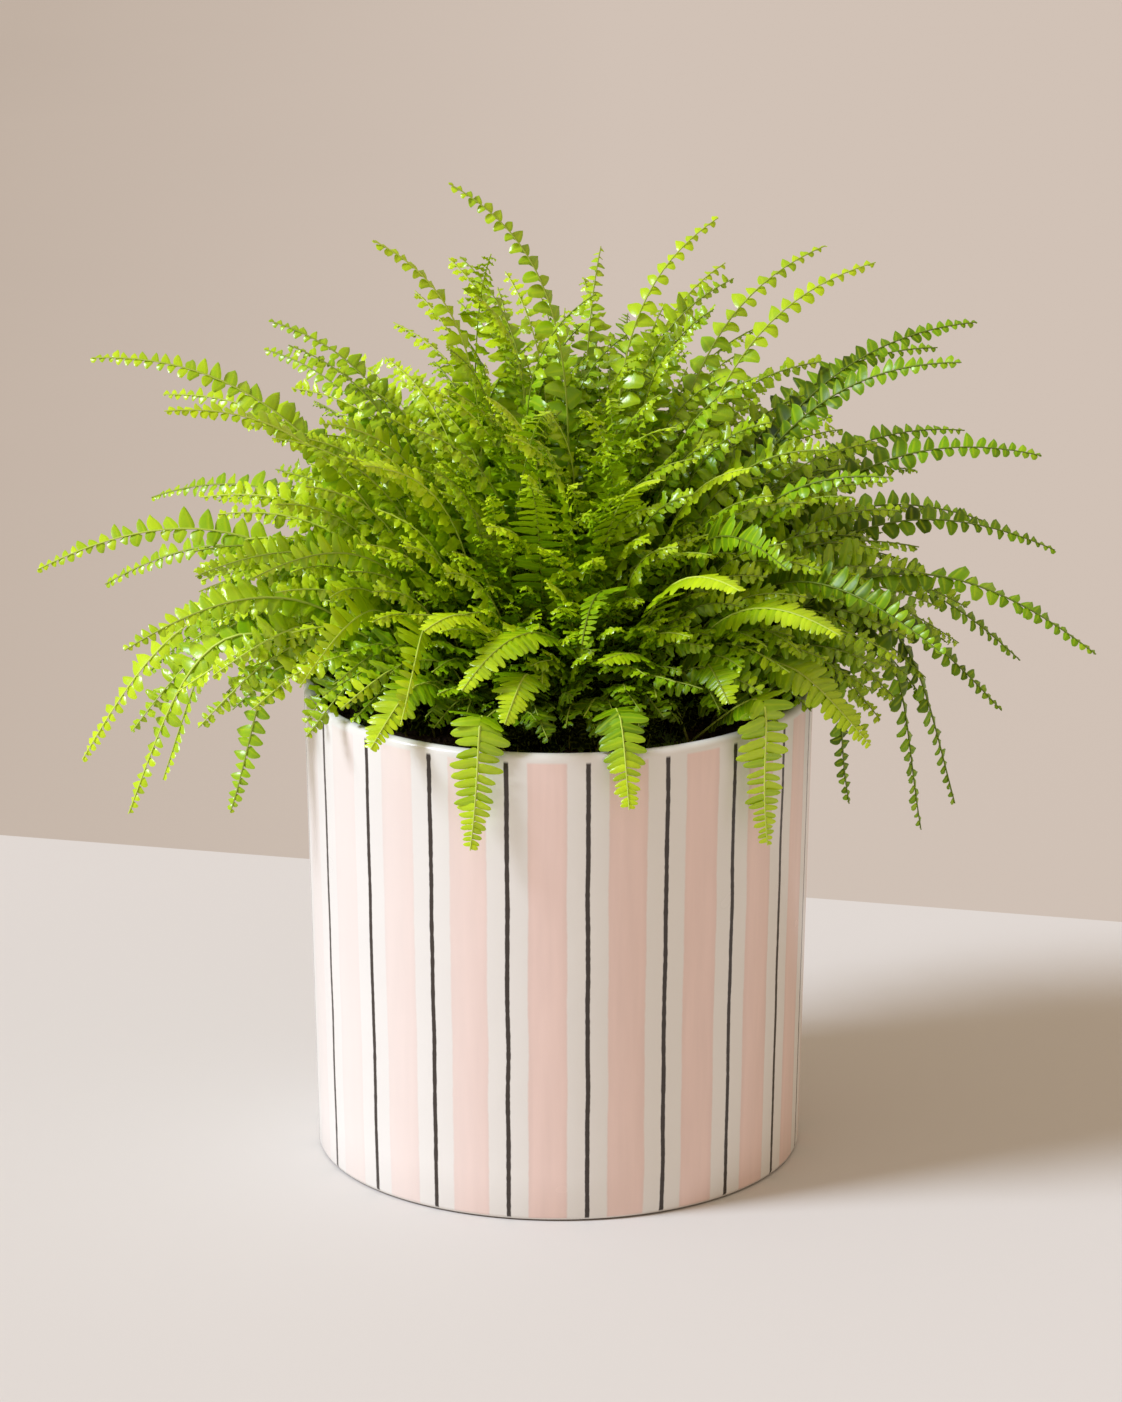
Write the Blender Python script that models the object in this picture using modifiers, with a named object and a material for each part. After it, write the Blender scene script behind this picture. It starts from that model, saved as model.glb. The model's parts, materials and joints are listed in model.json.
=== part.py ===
"""A Boston fern growing in a striped, glazed cylinder pot.

Metres, +Z up. The origin is the middle of the pot's foot, on the surface that it stands on. The photograph's
viewer looks along +Y, so -X is the plant's left side and -Y its front.
Pieces: the pot, the potting soil that fills it, and one leafy frond for each stalk that stands in the soil.
A frond's short side frond grows out of the same stalk, and is one body with it.
"""

import math
import random

import bpy
from mathutils import Matrix, Vector
from mathutils.bvhtree import BVHTree

MM = 0.001

# The pot
POT_HEIGHT = 0.228
RIM_RADIUS = 0.120
FOOT_RADIUS = 0.115
WALL = 0.0065
LIP_ROUNDING = 0.0028
FLOOR_THICKNESS = 0.009
FOOT_BEVEL = 0.002
POT_STEPS = 48

# The soil, which leaves a seat gap to the pot
SEAT_GAP = 0.0003
SOIL_BELOW_RIM = 0.018
SOIL_MOUND = 0.005
SOIL_STEPS = 36
SOIL_RINGS = (0.0, 0.33, 0.66)

# The holes that the stalks stand in
HOLE_DEPTH = 0.014
HOLE_WIDTH = 0.0036

# A frond: its stalk, its rib and its leaflets
STALK_WIDTH = 0.0024
RIB_TIP_WIDTH = 0.0010
BARE_STALK = 0.024
WHOLE_STALK_AT = 0.15
STALK_BEND = 0.0006
FEWEST_PAIRS = 4
LEAFLET_EDGE = 0.0007
LEAFLET_PITCH = 0.0172
TIP_CLOSER = 0.25
LEAFLET_FORWARD = 0.30
LEAFLET_HANG = 0.12
BLADE_HALF_WIDTH = 0.0120
BLADE_WIDTH_PER_LENGTH = 0.024
FIRST_WIDTH_SHARE = 0.45
FULL_WIDTH_AT = 0.30
TIP_WIDTH_SHARE = 0.20
TAPER_POWER = 1.5

# How a frond arches from its foot in the soil to its tip
CROWN_RADIUS = 0.012
CROWN_SPREAD = 0.070
SPREAD_ANGLE = math.radians(105)
LEAN_SHARE = 0.40
DROOP_MORE = math.radians(48)
MOST_DROOP = math.radians(170)
REACH_OUT = 0.44
REACH_BACK = 0.34
ARCH_LIFT = 0.050
BACK_LIFT = 0.6
ROLL_TO_FRONT = math.radians(38)
ROLL_VARIES = math.radians(10)
SWAY = 0.05

# A side frond leaves the stalk of its frond just above the soil, turned to one side and shorter
SIDE_STALK_WIDTH = 0.0019
SIDE_FROM = 0.0035
SIDE_APART = 0.016
SIDE_TURNS = (-75, -60, -47, -35, -24, 24, 35, 47, 60, 75)
SIDE_FALLS = (-42, -32, -22, -12, 0, 12)
SIDE_LENGTHS = (0.45, 0.57, 0.7, 0.83)
SIDE_LEAFLET_PITCH = 0.0215
SIDE_ROOMS = (0.0060, 0.0090)
OWN_ROOM = 2
ROOM_DECIMALS = 4
SIDE_OVER_RIM = 0.015
ROOM_STOPS = (0.35, 0.5, 0.65, 0.8, 0.95)
SHEET_MARGIN = 0.0006
POT_MARGIN = 0.002
SEED = 12

# Where each frond's tip is: millimetres across to the right, to the back, and up from the table
FROND_TIPS = {
    "left": (
        (-218, 20, 379), (-180, -50, 371), (-188, 70, 349), (-140, 78, 369), (-135, 35, 393),
        (-197, 105, 289), (-244, 0, 282), (-217, 60, 258), (-199, -70, 263),
        (-227, 25, 181), (-203, -10, 165), (-191, 60, 160), (-153, -45, 177),
    ),
    "top": (
        (-85, -20, 444), (-46, 30, 425), (-33, 85, 394), (-50, -5, 467), (20, 70, 421),
        (74, 15, 447), (79, 75, 412), (125, 45, 427), (147, 10, 427),
    ),
    "right": (
        (195, 25, 395), (182, 103, 364), (185, -30, 389), (193, 60, 334), (226, 12, 334),
        (152, -75, 346), (234, 20, 286), (203, 70, 287), (250, -32, 250), (221, 50, 223),
        (209, 0, 213), (190, 35, 156), (172, 0, 154), (136, -35, 178),
    ),
    "front": (
        (143, -85, 222), (96, -95, 177), (127, -115, 283), (81, -140, 311), (32, -135, 207),
        (-40, -130, 186), (-24, -150, 252), (-85, -120, 231), (-60, -135, 291), (-88, -80, 353),
        (-13, -110, 351), (46, -105, 353), (87, -70, 349),
    ),
    "back": (
        (0, 150, 345), (-70, 165, 320), (75, 160, 325), (-110, 150, 270), (120, 150, 275),
        (-40, 190, 250), (50, 195, 245), (0, 168, 190), (-100, 130, 185),
    ),
}

# Fronds whose foot isn't straight below their arch: millimetres by which it's moved to the right and back
MOVED_FEET = {
    "frond_top_01": (-7, -8),
    "frond_top_02": (2, 5),
    "frond_top_04": (26, -6),
    "frond_top_08": (0, -2),
    "frond_top_09": (0, -8),
    "frond_right_09": (0, -6),
    "frond_right_11": (0, 6),
}


def clear_scene():
    for obj in list(bpy.data.objects):
        bpy.data.objects.remove(obj, do_unlink=True)


def new_collection(name):
    made = bpy.data.collections.new(name)
    bpy.context.scene.collection.children.link(made)
    return made


def material(name, colour, roughness, metallic=0.0):
    made = bpy.data.materials.new(name)
    made.use_nodes = True
    shader = made.node_tree.nodes["Principled BSDF"]
    shader.inputs["Base Color"].default_value = (*colour, 1.0)
    shader.inputs["Roughness"].default_value = roughness
    shader.inputs["Metallic"].default_value = metallic
    return made


def mesh_object(name, collection, points, faces, finish):
    mesh = bpy.data.meshes.new(name)
    mesh.from_pydata(points, [], faces)
    obj = bpy.data.objects.new(name, mesh)
    obj.data.materials.append(finish)
    collection.objects.link(obj)
    return obj


def turned(name, collection, profile, steps, finish):
    """A profile of (radius, height) points, from its top outside to the axis, spun once round Z."""
    points = [(radius, 0.0, height) for radius, height in profile]
    obj = mesh_object(name, collection, points, [], finish)
    obj.data.clear_geometry()
    obj.data.from_pydata(points, [(i, i + 1) for i in range(len(points) - 1)], [])
    screw = obj.modifiers.new("turn", "SCREW")
    screw.steps = steps
    screw.render_steps = steps
    screw.use_merge_vertices = True
    screw.merge_threshold = 0.00005
    screw.use_smooth_shade = True
    return obj


def applied(obj):
    """The object with its modifiers turned into its mesh."""
    graph = bpy.context.evaluated_depsgraph_get()
    mesh = bpy.data.meshes.new_from_object(obj.evaluated_get(graph))
    obj.modifiers.clear()
    obj.data = mesh
    return obj


def outer_radius(height):
    return FOOT_RADIUS + (RIM_RADIUS - FOOT_RADIUS) * height / POT_HEIGHT


def make_pot(collection, finish):
    inside = RIM_RADIUS - WALL
    lip = POT_HEIGHT - LIP_ROUNDING
    quarter = LIP_ROUNDING * (1 - math.sqrt(0.5))
    profile = [
        (RIM_RADIUS - LIP_ROUNDING, POT_HEIGHT),
        (RIM_RADIUS - quarter, POT_HEIGHT - quarter),
        (RIM_RADIUS, lip),
        (FOOT_RADIUS, FOOT_BEVEL),
        (FOOT_RADIUS - FOOT_BEVEL, 0.0),
        (0.0, 0.0),
        (0.0, FLOOR_THICKNESS),
        (outer_radius(FLOOR_THICKNESS) - WALL, FLOOR_THICKNESS),
        (inside, lip),
        (inside + quarter, POT_HEIGHT - quarter),
        (inside + LIP_ROUNDING, POT_HEIGHT),
        (RIM_RADIUS - LIP_ROUNDING, POT_HEIGHT),
    ]
    return turned("pot", collection, profile, POT_STEPS, finish)


def soil_top(radius):
    """Height of the soil, which is mounded a little towards its middle."""
    return POT_HEIGHT - SOIL_BELOW_RIM + SOIL_MOUND * (1 - (radius / RIM_RADIUS) ** 2)


def make_soil(collection, cutters, spines, finish):
    # A turned piece's flats lie inside its round by this share, so the soil is kept that much smaller.
    flats = math.cos(math.pi / POT_STEPS)
    edge_height = soil_top(RIM_RADIUS)
    bottom = FLOOR_THICKNESS + SEAT_GAP
    edge = (outer_radius(edge_height) - WALL) * flats - SEAT_GAP
    foot = (outer_radius(bottom) - WALL) * flats - SEAT_GAP
    profile = [(edge, edge_height), (foot, bottom), (0.0, bottom)]
    profile += [(edge * share, soil_top(edge * share)) for share in SOIL_RINGS]
    profile += [(edge, edge_height)]
    soil = turned("soil", collection, profile, SOIL_STEPS, finish)
    for spine in spines:
        bpy.ops.mesh.primitive_cube_add(size=1, location=spine.foot)
        hole = bpy.context.active_object
        hole.scale = (HOLE_WIDTH, HOLE_WIDTH, 2 * HOLE_DEPTH)
        hole.rotation_euler = (0, 0, math.atan2(spine.heading.y, spine.heading.x))
        hole.hide_render = True
        hole.display_type = "WIRE"
        for linked in list(hole.users_collection):
            linked.objects.unlink(hole)
        cutters.objects.link(hole)
    cut = soil.modifiers.new("stalk holes", "BOOLEAN")
    cut.operation = "DIFFERENCE"
    cut.operand_type = "COLLECTION"
    cut.collection = cutters
    cut.solver = "EXACT"
    return soil


class Spine:
    """The curve that a frond's rib follows, measured along its length, with the way that its blade faces."""

    SAMPLES = 40

    def __init__(self, foot, tip, roll, sway):
        chord = tip - foot
        self.heading = Vector((chord.x, chord.y, 0)).normalized()
        self.side = Vector((0, 0, 1)).cross(self.heading)
        self.roll = roll + ROLL_TO_FRONT * self.heading.x
        fall = math.acos(chord.normalized().z)
        lift = ARCH_LIFT * (fall / SPREAD_ANGLE) ** 2
        start = self.direction(LEAN_SHARE * fall) * (REACH_OUT * chord.length + lift)
        droop = self.direction(min(fall + DROOP_MORE, MOST_DROOP))
        end = droop * (REACH_BACK * chord.length + BACK_LIFT * lift)
        bend = self.side * sway * chord.length
        self.foot = foot
        self.tip = tip
        self.corners = [foot, foot + start + 0.5 * bend, tip - end + bend, tip]
        steps = [self.at_share(i / self.SAMPLES) for i in range(self.SAMPLES + 1)]
        self.lengths = [0.0]
        for before, after in zip(steps, steps[1:]):
            self.lengths.append(self.lengths[-1] + (after - before).length)
        self.length = self.lengths[-1]

    def direction(self, from_upright):
        return self.heading * math.sin(from_upright) + Vector((0, 0, math.cos(from_upright)))

    def at_share(self, t):
        a, b, c, d = self.corners
        u = 1 - t
        return u**3 * a + 3 * u * u * t * b + 3 * u * t * t * c + t**3 * d

    def share_of(self, distance):
        """The curve's own parameter at a distance along it."""
        distance = min(max(distance, 0.0), self.length)
        for i, (before, after) in enumerate(zip(self.lengths, self.lengths[1:])):
            if distance <= after:
                return (i + (distance - before) / (after - before)) / self.SAMPLES
        return 1.0

    def frame(self, distance):
        """The point, the way onward, the way to the left edge and the way that the blade faces."""
        t = self.share_of(distance)
        step = 0.5 / self.SAMPLES
        onward = (self.at_share(min(t + step, 1)) - self.at_share(max(t - step, 0))).normalized()
        facing = self.side.cross(onward).normalized() * -1
        turn = Matrix.Rotation(self.roll * min(distance / (FULL_WIDTH_AT * self.length), 1), 3, onward)
        facing = turn @ facing
        return self.at_share(t), onward, facing.cross(onward), facing


def foot_of(tip, moved):
    """Where a frond with this tip leaves the soil: the lower the tip, the further out its foot."""
    low = Vector((0, 0, soil_top(0)))
    fall = math.acos((tip - low).normalized().z)
    radius = CROWN_RADIUS + CROWN_SPREAD * min(fall / SPREAD_ANGLE, 1)
    heading = math.atan2(tip.y, tip.x)
    across, back = moved[0] * MM, moved[1] * MM
    foot = Vector((radius * math.cos(heading) + across, radius * math.sin(heading) + back, 0))
    foot.z = soil_top(foot.length)
    return foot


def half_width(share, length):
    """How far the leaflets reach from the rib, at a share of the leafy length."""
    full = BLADE_HALF_WIDTH + BLADE_WIDTH_PER_LENGTH * length
    grow = math.sin(0.5 * math.pi * min(share / FULL_WIDTH_AT, 1))
    past = max(share - FULL_WIDTH_AT, 0) / (1 - FULL_WIDTH_AT)
    taper = 1 - (1 - TIP_WIDTH_SHARE) * past**TAPER_POWER
    return full * (FIRST_WIDTH_SHARE + (1 - FIRST_WIDTH_SHARE) * grow) * taper


class Sheet:
    """A stalk, a rib and leaflets as one sheet of triangles, with a thickness and a facing at each point."""

    def __init__(self, spine, width, foot_depth, pitch):
        self.spine = spine
        self.width = width
        self.points, self.thicknesses, self.facings, self.faces = [], [], [], []
        self.start = BARE_STALK * min(1, spine.length / WHOLE_STALK_AT)
        self.pairs = max(FEWEST_PAIRS, round((spine.length - self.start) / pitch))
        last_left, last_right = self.add_rib(-foot_depth, 1), self.add_rib(-foot_depth, -1)
        for distance in [STALK_BEND, self.station(0)]:
            left = self.add_rib(distance, 1)
            right = self.add_rib(distance + self.half_step(0) * (distance > STALK_BEND), -1)
            self.faces += [(last_left, last_right, left), (last_right, right, left)]
            last_left, last_right = left, right
        for i in range(1, self.pairs + 1):
            left = self.add_rib(self.station(i), 1)
            self.faces.append((last_left, last_right, left))
            self.add_leaflet(last_left, left, self.station(i) - self.half_step(i - 1), 1)
            right = self.add_rib(self.station(i) + self.half_step(i), -1)
            self.faces.append((last_right, right, left))
            if i < self.pairs:
                self.add_leaflet(last_right, right, self.station(i), -1)
            last_left, last_right = left, right

    def station(self, i):
        """How far along the spine the i-th leaflet on the left begins. They stand closer towards the tip."""
        share = i / self.pairs
        closer = TIP_CLOSER * share
        return self.start + (self.spine.length - self.start) * share * (1 + TIP_CLOSER - closer)

    def half_step(self, i):
        return 0.5 * (self.station(i + 1) - self.station(i)) if i < self.pairs else 0.0

    def add(self, point, thickness, facing):
        self.points.append(point)
        self.thicknesses.append(thickness)
        self.facings.append(facing)
        return len(self.points) - 1

    def add_rib(self, distance, sign):
        """A point at the rib's edge. A distance below zero is in the soil, straight below the foot."""
        point, onward, left, facing = self.spine.frame(distance)
        if distance < 0:
            point, left = point + Vector((0, 0, distance)), self.spine.side
        wide = self.width + (RIB_TIP_WIDTH - self.width) * max(distance, 0) / self.spine.length
        return self.add(point + left * (0.5 * sign * wide), wide, facing)

    def add_leaflet(self, near, far, distance, sign):
        share = (distance - self.start) / (self.spine.length - self.start)
        reach = half_width(share, self.spine.length)
        point, onward, left, facing = self.spine.frame(distance)
        out = left * sign + onward * LEAFLET_FORWARD - facing * LEAFLET_HANG
        tip = self.add(point + out * reach, LEAFLET_EDGE, facing)
        self.faces.append((near, far, tip) if sign > 0 else (far, near, tip))


def solid_of(sheet, name, collection, finish):
    """The sheet given its thickness by Solidify."""
    obj = mesh_object(name, collection, sheet.points, sheet.faces, finish)
    group = obj.vertex_groups.new(name="thickness")
    for i, thickness in enumerate(sheet.thicknesses):
        group.add([i], thickness / sheet.width, "REPLACE")
    solid = obj.modifiers.new("thickness", "SOLIDIFY")
    solid.thickness = sheet.width
    solid.offset = 0
    solid.vertex_group = group.name
    return obj


def tree_of(sheets, beyond=0.0):
    """The middle and both faces of these sheets, as one tree in which distances and crossings are found."""
    points, faces = [], []
    for sheet in sheets:
        kept = [face for face in sheet.faces
                if min((sheet.points[i] - sheet.spine.foot).length for i in face) >= beyond]
        for layer in (-1, 0, 1):
            first = len(points)
            points += [point + facing * layer * (0.5 * thickness + SHEET_MARGIN)
                       for point, thickness, facing in zip(sheet.points, sheet.thicknesses, sheet.facings)]
            faces += [[first + i for i in face] for face in kept]
    return BVHTree.FromPolygons(points, faces)


def clears_pot(sheet):
    """Whether the leafy part keeps off the soil and the pot's rim."""
    inside = RIM_RADIUS - WALL - POT_MARGIN
    outside = RIM_RADIUS + POT_MARGIN
    for point in sheet.points[4:]:
        radius = math.hypot(point.x, point.y)
        floor = soil_top(radius) if radius < inside else POT_HEIGHT if radius < outside else 0.0
        if point.z < floor + POT_MARGIN:
            return False
    return True


def side_tip(tip, turn, fall, length):
    """The tip of a frond, swung about the crown by degrees to the side and down, and nearer to the crown."""
    low = Vector((0, 0, soil_top(0)))
    out = tip - low
    level = Vector((0, 0, 1)).cross(out).normalized()
    out = Matrix.Rotation(math.radians(fall), 3, level) @ out
    return low + Matrix.Rotation(math.radians(turn), 3, "Z") @ out * length


def side_spines(spine):
    """The ways in which a side frond could grow from this frond's stalk."""
    root = spine.frame(SIDE_FROM)[0]
    for turn in SIDE_TURNS:
        for fall in SIDE_FALLS:
            for length in SIDE_LENGTHS:
                tip = side_tip(spine.tip, turn, fall, length)
                if tip.z > POT_HEIGHT + SIDE_OVER_RIM:
                    yield Spine(root, tip, spine.roll, math.copysign(SWAY, turn))


def room_round(spine, tree):
    """The least distance from a spine's leafy part to what else there is."""
    return min(tree.find_nearest(spine.at_share(stop))[3] for stop in ROOM_STOPS)


def side_sheet(own, others, least_room):
    """Of the ways in which a side frond could grow, the one with the most room that crosses nothing."""
    own_tree, tree = tree_of(own), tree_of(others)
    ways = []
    for i, way in enumerate(side_spines(own[0].spine)):
        room = min(room_round(way, tree), OWN_ROOM * room_round(way, own_tree))
        ways.append((round(room, ROOM_DECIMALS), -i, way))
    for room, _, way in sorted(ways, reverse=True, key=lambda found: found[:2]):
        if room < least_room:
            return None
        side = Sheet(way, SIDE_STALK_WIDTH, 0.0, SIDE_LEAFLET_PITCH)
        clear = clears_pot(side) and not tree.overlap(tree_of([side]))
        if clear and not own_tree.overlap(tree_of([side], SIDE_APART)):
            return side
    return None


def join_side(frond, side):
    join = frond.modifiers.new("side frond", "BOOLEAN")
    join.operation = "UNION"
    join.object = side
    join.solver = "MANIFOLD"
    applied(frond)
    bpy.data.objects.remove(side, do_unlink=True)


def frond_sheets():
    """For each frond, by name, its own sheet and those of the side fronds that it has room for."""
    draw = random.Random(SEED)
    own = {}
    for side, tips in FROND_TIPS.items():
        for number, tip in enumerate(tips, 1):
            name = f"frond_{side}_{number:02d}"
            tip = Vector(tip) * MM
            roll = draw.uniform(-ROLL_VARIES, ROLL_VARIES)
            spine = Spine(foot_of(tip, MOVED_FEET.get(name, (0, 0))), tip, roll, draw.uniform(-SWAY, SWAY))
            own[name] = Sheet(spine, STALK_WIDTH, HOLE_DEPTH - SEAT_GAP, LEAFLET_PITCH)
    fronds = {name: [sheet] for name, sheet in own.items()}
    for least_room in SIDE_ROOMS:
        for name, sheets in fronds.items():
            others = [sheet for other in fronds for sheet in fronds[other] if other != name]
            side = side_sheet(sheets, others, least_room)
            if side:
                sheets.append(side)
    return fronds


def main():
    clear_scene()
    fern = new_collection("potted Boston fern")
    cutters = new_collection("stalk hole cutters")
    glaze = material("glazed stoneware", (0.84, 0.80, 0.76), 0.25)
    peat = material("damp peat soil", (0.022, 0.014, 0.008), 0.95)
    leaf = material("fern leaf", (0.23, 0.42, 0.03), 0.5)
    make_pot(fern, glaze)
    sheets = frond_sheets()
    make_soil(fern, cutters, [own.spine for own, *_ in sheets.values()], peat)
    for name, (own, *sides) in sheets.items():
        frond = solid_of(own, name, fern, leaf)
        for side in sides:
            join_side(frond, solid_of(side, "side frond", fern, leaf))


main()
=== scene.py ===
"""The looks of a potted Boston fern: a glazed, striped pot, peat soil with moss, and leafy fronds.

Metres, +Z up. The origin is the middle of the pot's foot, on the surface that it stands on. The photograph's
viewer looks along +Y, so -X is the plant's left side and -Y its front.
"""

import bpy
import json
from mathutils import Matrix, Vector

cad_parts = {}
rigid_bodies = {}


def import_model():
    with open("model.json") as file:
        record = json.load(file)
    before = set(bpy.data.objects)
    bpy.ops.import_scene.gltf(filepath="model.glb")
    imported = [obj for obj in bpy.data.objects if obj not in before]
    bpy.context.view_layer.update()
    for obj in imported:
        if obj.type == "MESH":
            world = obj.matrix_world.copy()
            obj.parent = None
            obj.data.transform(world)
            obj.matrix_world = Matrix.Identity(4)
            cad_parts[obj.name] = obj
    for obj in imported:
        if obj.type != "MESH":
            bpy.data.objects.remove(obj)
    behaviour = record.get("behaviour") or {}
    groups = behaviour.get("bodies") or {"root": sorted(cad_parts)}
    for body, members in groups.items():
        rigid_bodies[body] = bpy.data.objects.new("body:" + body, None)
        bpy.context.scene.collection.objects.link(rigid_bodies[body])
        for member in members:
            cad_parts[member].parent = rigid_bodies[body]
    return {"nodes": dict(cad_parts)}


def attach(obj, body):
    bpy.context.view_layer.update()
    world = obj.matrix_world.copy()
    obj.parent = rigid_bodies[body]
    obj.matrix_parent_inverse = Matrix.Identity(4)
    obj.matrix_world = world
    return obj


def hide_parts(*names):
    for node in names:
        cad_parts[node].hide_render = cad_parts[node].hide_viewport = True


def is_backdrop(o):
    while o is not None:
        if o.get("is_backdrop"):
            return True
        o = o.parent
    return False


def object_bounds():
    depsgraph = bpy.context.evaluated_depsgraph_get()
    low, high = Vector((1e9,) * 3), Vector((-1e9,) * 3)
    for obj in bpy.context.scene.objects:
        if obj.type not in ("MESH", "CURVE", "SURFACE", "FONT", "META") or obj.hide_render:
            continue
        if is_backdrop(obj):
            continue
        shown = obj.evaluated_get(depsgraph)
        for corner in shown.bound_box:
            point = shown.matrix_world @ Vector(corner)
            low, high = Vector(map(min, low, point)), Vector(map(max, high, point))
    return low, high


bl_info = {
    "name": "Potted Boston fern",
    "version": (1, 0, 0),
    "blender": (4, 5, 0),
    "location": "3D View > Sidebar > Fern",
    "description": "Makes the pot, the soil and the fronds of a potted fern, and the stage that it stands on",
    "category": "Add Mesh",
}

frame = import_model()
cad_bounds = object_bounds()

import json
import math
import random
from functools import partial
from typing import NamedTuple

import bpy
from bpy.props import FloatProperty, FloatVectorProperty, IntProperty, PointerProperty
from mathutils import Matrix, Vector, noise
from mathutils.bvhtree import BVHTree

MM = 0.001
BODY = "root"

# The pot, as the solid has it, with a rounder lip
POT_HEIGHT = 0.228
RIM_RADIUS = 0.120
FOOT_RADIUS = 0.115
WALL = 0.0065
FLOOR_THICKNESS = 0.009
POT_STEPS = 160
LIP_STEPS = 8
FOOT_ROUNDING = 0.0026
WALL_STOPS = (0.9, 0.7, 0.5, 0.3, 0.1)

# The painted stripes: how far a stroke wavers and how ragged its edges are, over what lengths, how soft the
# edges of the lines and of the pink are, and between which heights the paint ends and the foot turns dark
# brown
STROKE_WAVER = 0.9 * MM
STROKE_WAVER_LENGTH = 45.455 * MM
STROKE_RAGGED = 0.28 * MM
STROKE_RAGGED_LENGTH = 3.8462 * MM
STROKES_APART = 7.3
LINE_EDGE = (-0.12 * MM, 0.22 * MM)
PINK_EDGE = (-0.3 * MM, 0.5 * MM)
PAINT_TOP = (POT_HEIGHT - 4.6 * MM, POT_HEIGHT - 3.4 * MM)
PAINT_FOOT = (1.2 * MM, 2.0 * MM)
DARK_FOOT_HEIGHTS = (0.6 * MM, 1.1 * MM)
# How far across the pot's left the pink is painted paler, as a painted highlight
PINK_PAINTED_HIGHLIGHT = (-0.9 * RIM_RADIUS, -0.1 * RIM_RADIUS)
STREAK_WIDTH = 5 * MM
STREAK_LENGTH = 62.5 * MM
POOLED_WIDTH = 2.8 * MM
GLAZE_CLOUD = 35.714 * MM
GLAZE_WAVE = 11.765 * MM
GLAZE_WAVE_HEIGHT = 0.3 * MM

# The soil: its shape as the solid has it, then the lumps on its top and the grain of the peat
SEAT_GAP = 0.0003
SOIL_BELOW_RIM = 0.018
SOIL_MOUND = 0.005
SOIL_STEPS = 96
SOIL_RINGS = 26
SOIL_LUMPS_PER_METRE = 95
SOIL_LUMP_HEIGHT = 1.6 * MM
PEAT_GRAIN = 2.381 * MM
PEAT_GRAIN_HEIGHT = 1.2 * MM
PEAT_LUMP = 16.667 * MM

# The crumbs and the moss: shapes a unit wide or high, how much their sizes vary, how far crumbs tilt, and
# how squarely a face looks up that they lie on
CRUMB_SQUASHES = (0.5, 0.7, 0.9)
CRUMB_UNEVEN = 0.45
CRUMB_LUMPS = 3
CRUMBS_APART = 9
MOSS_LEAVES = 5
MOSS_TURN_UNEVEN = 0.4
MOSS_TIP_REACH = 0.05
MOSS_REACH = 0.42
MOSS_RISE = 0.55
MOSS_RISE_STEP = 0.12
MOSS_HALF_WIDTH = 0.11
MOSS_LEAF_STEP = 0.02
MOSS_LEAF_DEPTH = 0.16
MOSS_LEAF_BACK = 0.1
MOSS_TUFT = 6.6667 * MM
MOSS_PATCHES_PER_METRE = 24.0
MOSS_BARE_SHARE = 0.54
MOSS_TILT = 0.15
GRAINS_VARY = (0.45, 1.5)
GRAIN_TILT = 3.0
UPWARD = 0.85

# A frond's curve, as the solid has it
HOLE_DEPTH = 0.014
STALK_WIDTH = 0.0024
RIB_TIP_WIDTH = 0.0010
BARE_STALK = 0.024
WHOLE_STALK_AT = 0.15
STALK_BEND = 0.0006
FEWEST_PAIRS = 4
LEAFLET_EDGE = 0.0007
LEAFLET_PITCH = 0.0172
TIP_CLOSER = 0.25
LEAFLET_FORWARD = 0.30
LEAFLET_HANG = 0.12
BLADE_HALF_WIDTH = 0.0120
BLADE_WIDTH_PER_LENGTH = 0.024
FIRST_WIDTH_SHARE = 0.45
FULL_WIDTH_AT = 0.30
TIP_WIDTH_SHARE = 0.20
TAPER_POWER = 1.5
CROWN_RADIUS = 0.012
CROWN_SPREAD = 0.070
SPREAD_ANGLE = math.radians(105)
LEAN_SHARE = 0.40
DROOP_MORE = math.radians(48)
MOST_DROOP = math.radians(170)
REACH_OUT = 0.44
REACH_BACK = 0.34
ARCH_LIFT = 0.050
BACK_LIFT = 0.6
ROLL_TO_FRONT = math.radians(38)
ROLL_VARIES = math.radians(10)
SWAY = 0.05

# The side fronds, as the solids have them
SIDE_STALK_WIDTH = 0.0019
SIDE_FROM = 0.0035
SIDE_APART = 0.016
SIDE_TURNS = (-75, -60, -47, -35, -24, 24, 35, 47, 60, 75)
SIDE_FALLS = (-42, -32, -22, -12, 0, 12)
SIDE_LENGTHS = (0.45, 0.57, 0.7, 0.83)
SIDE_LEAFLET_PITCH = 0.0215
SIDE_ROOMS = (0.0060, 0.0090)
OWN_ROOM = 2
ROOM_DECIMALS = 4
SIDE_OVER_RIM = 0.015
ROOM_STOPS = (0.35, 0.5, 0.65, 0.8, 0.95)
SHEET_MARGIN = 0.0006
POT_MARGIN = 0.002
SEED = 12

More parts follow.
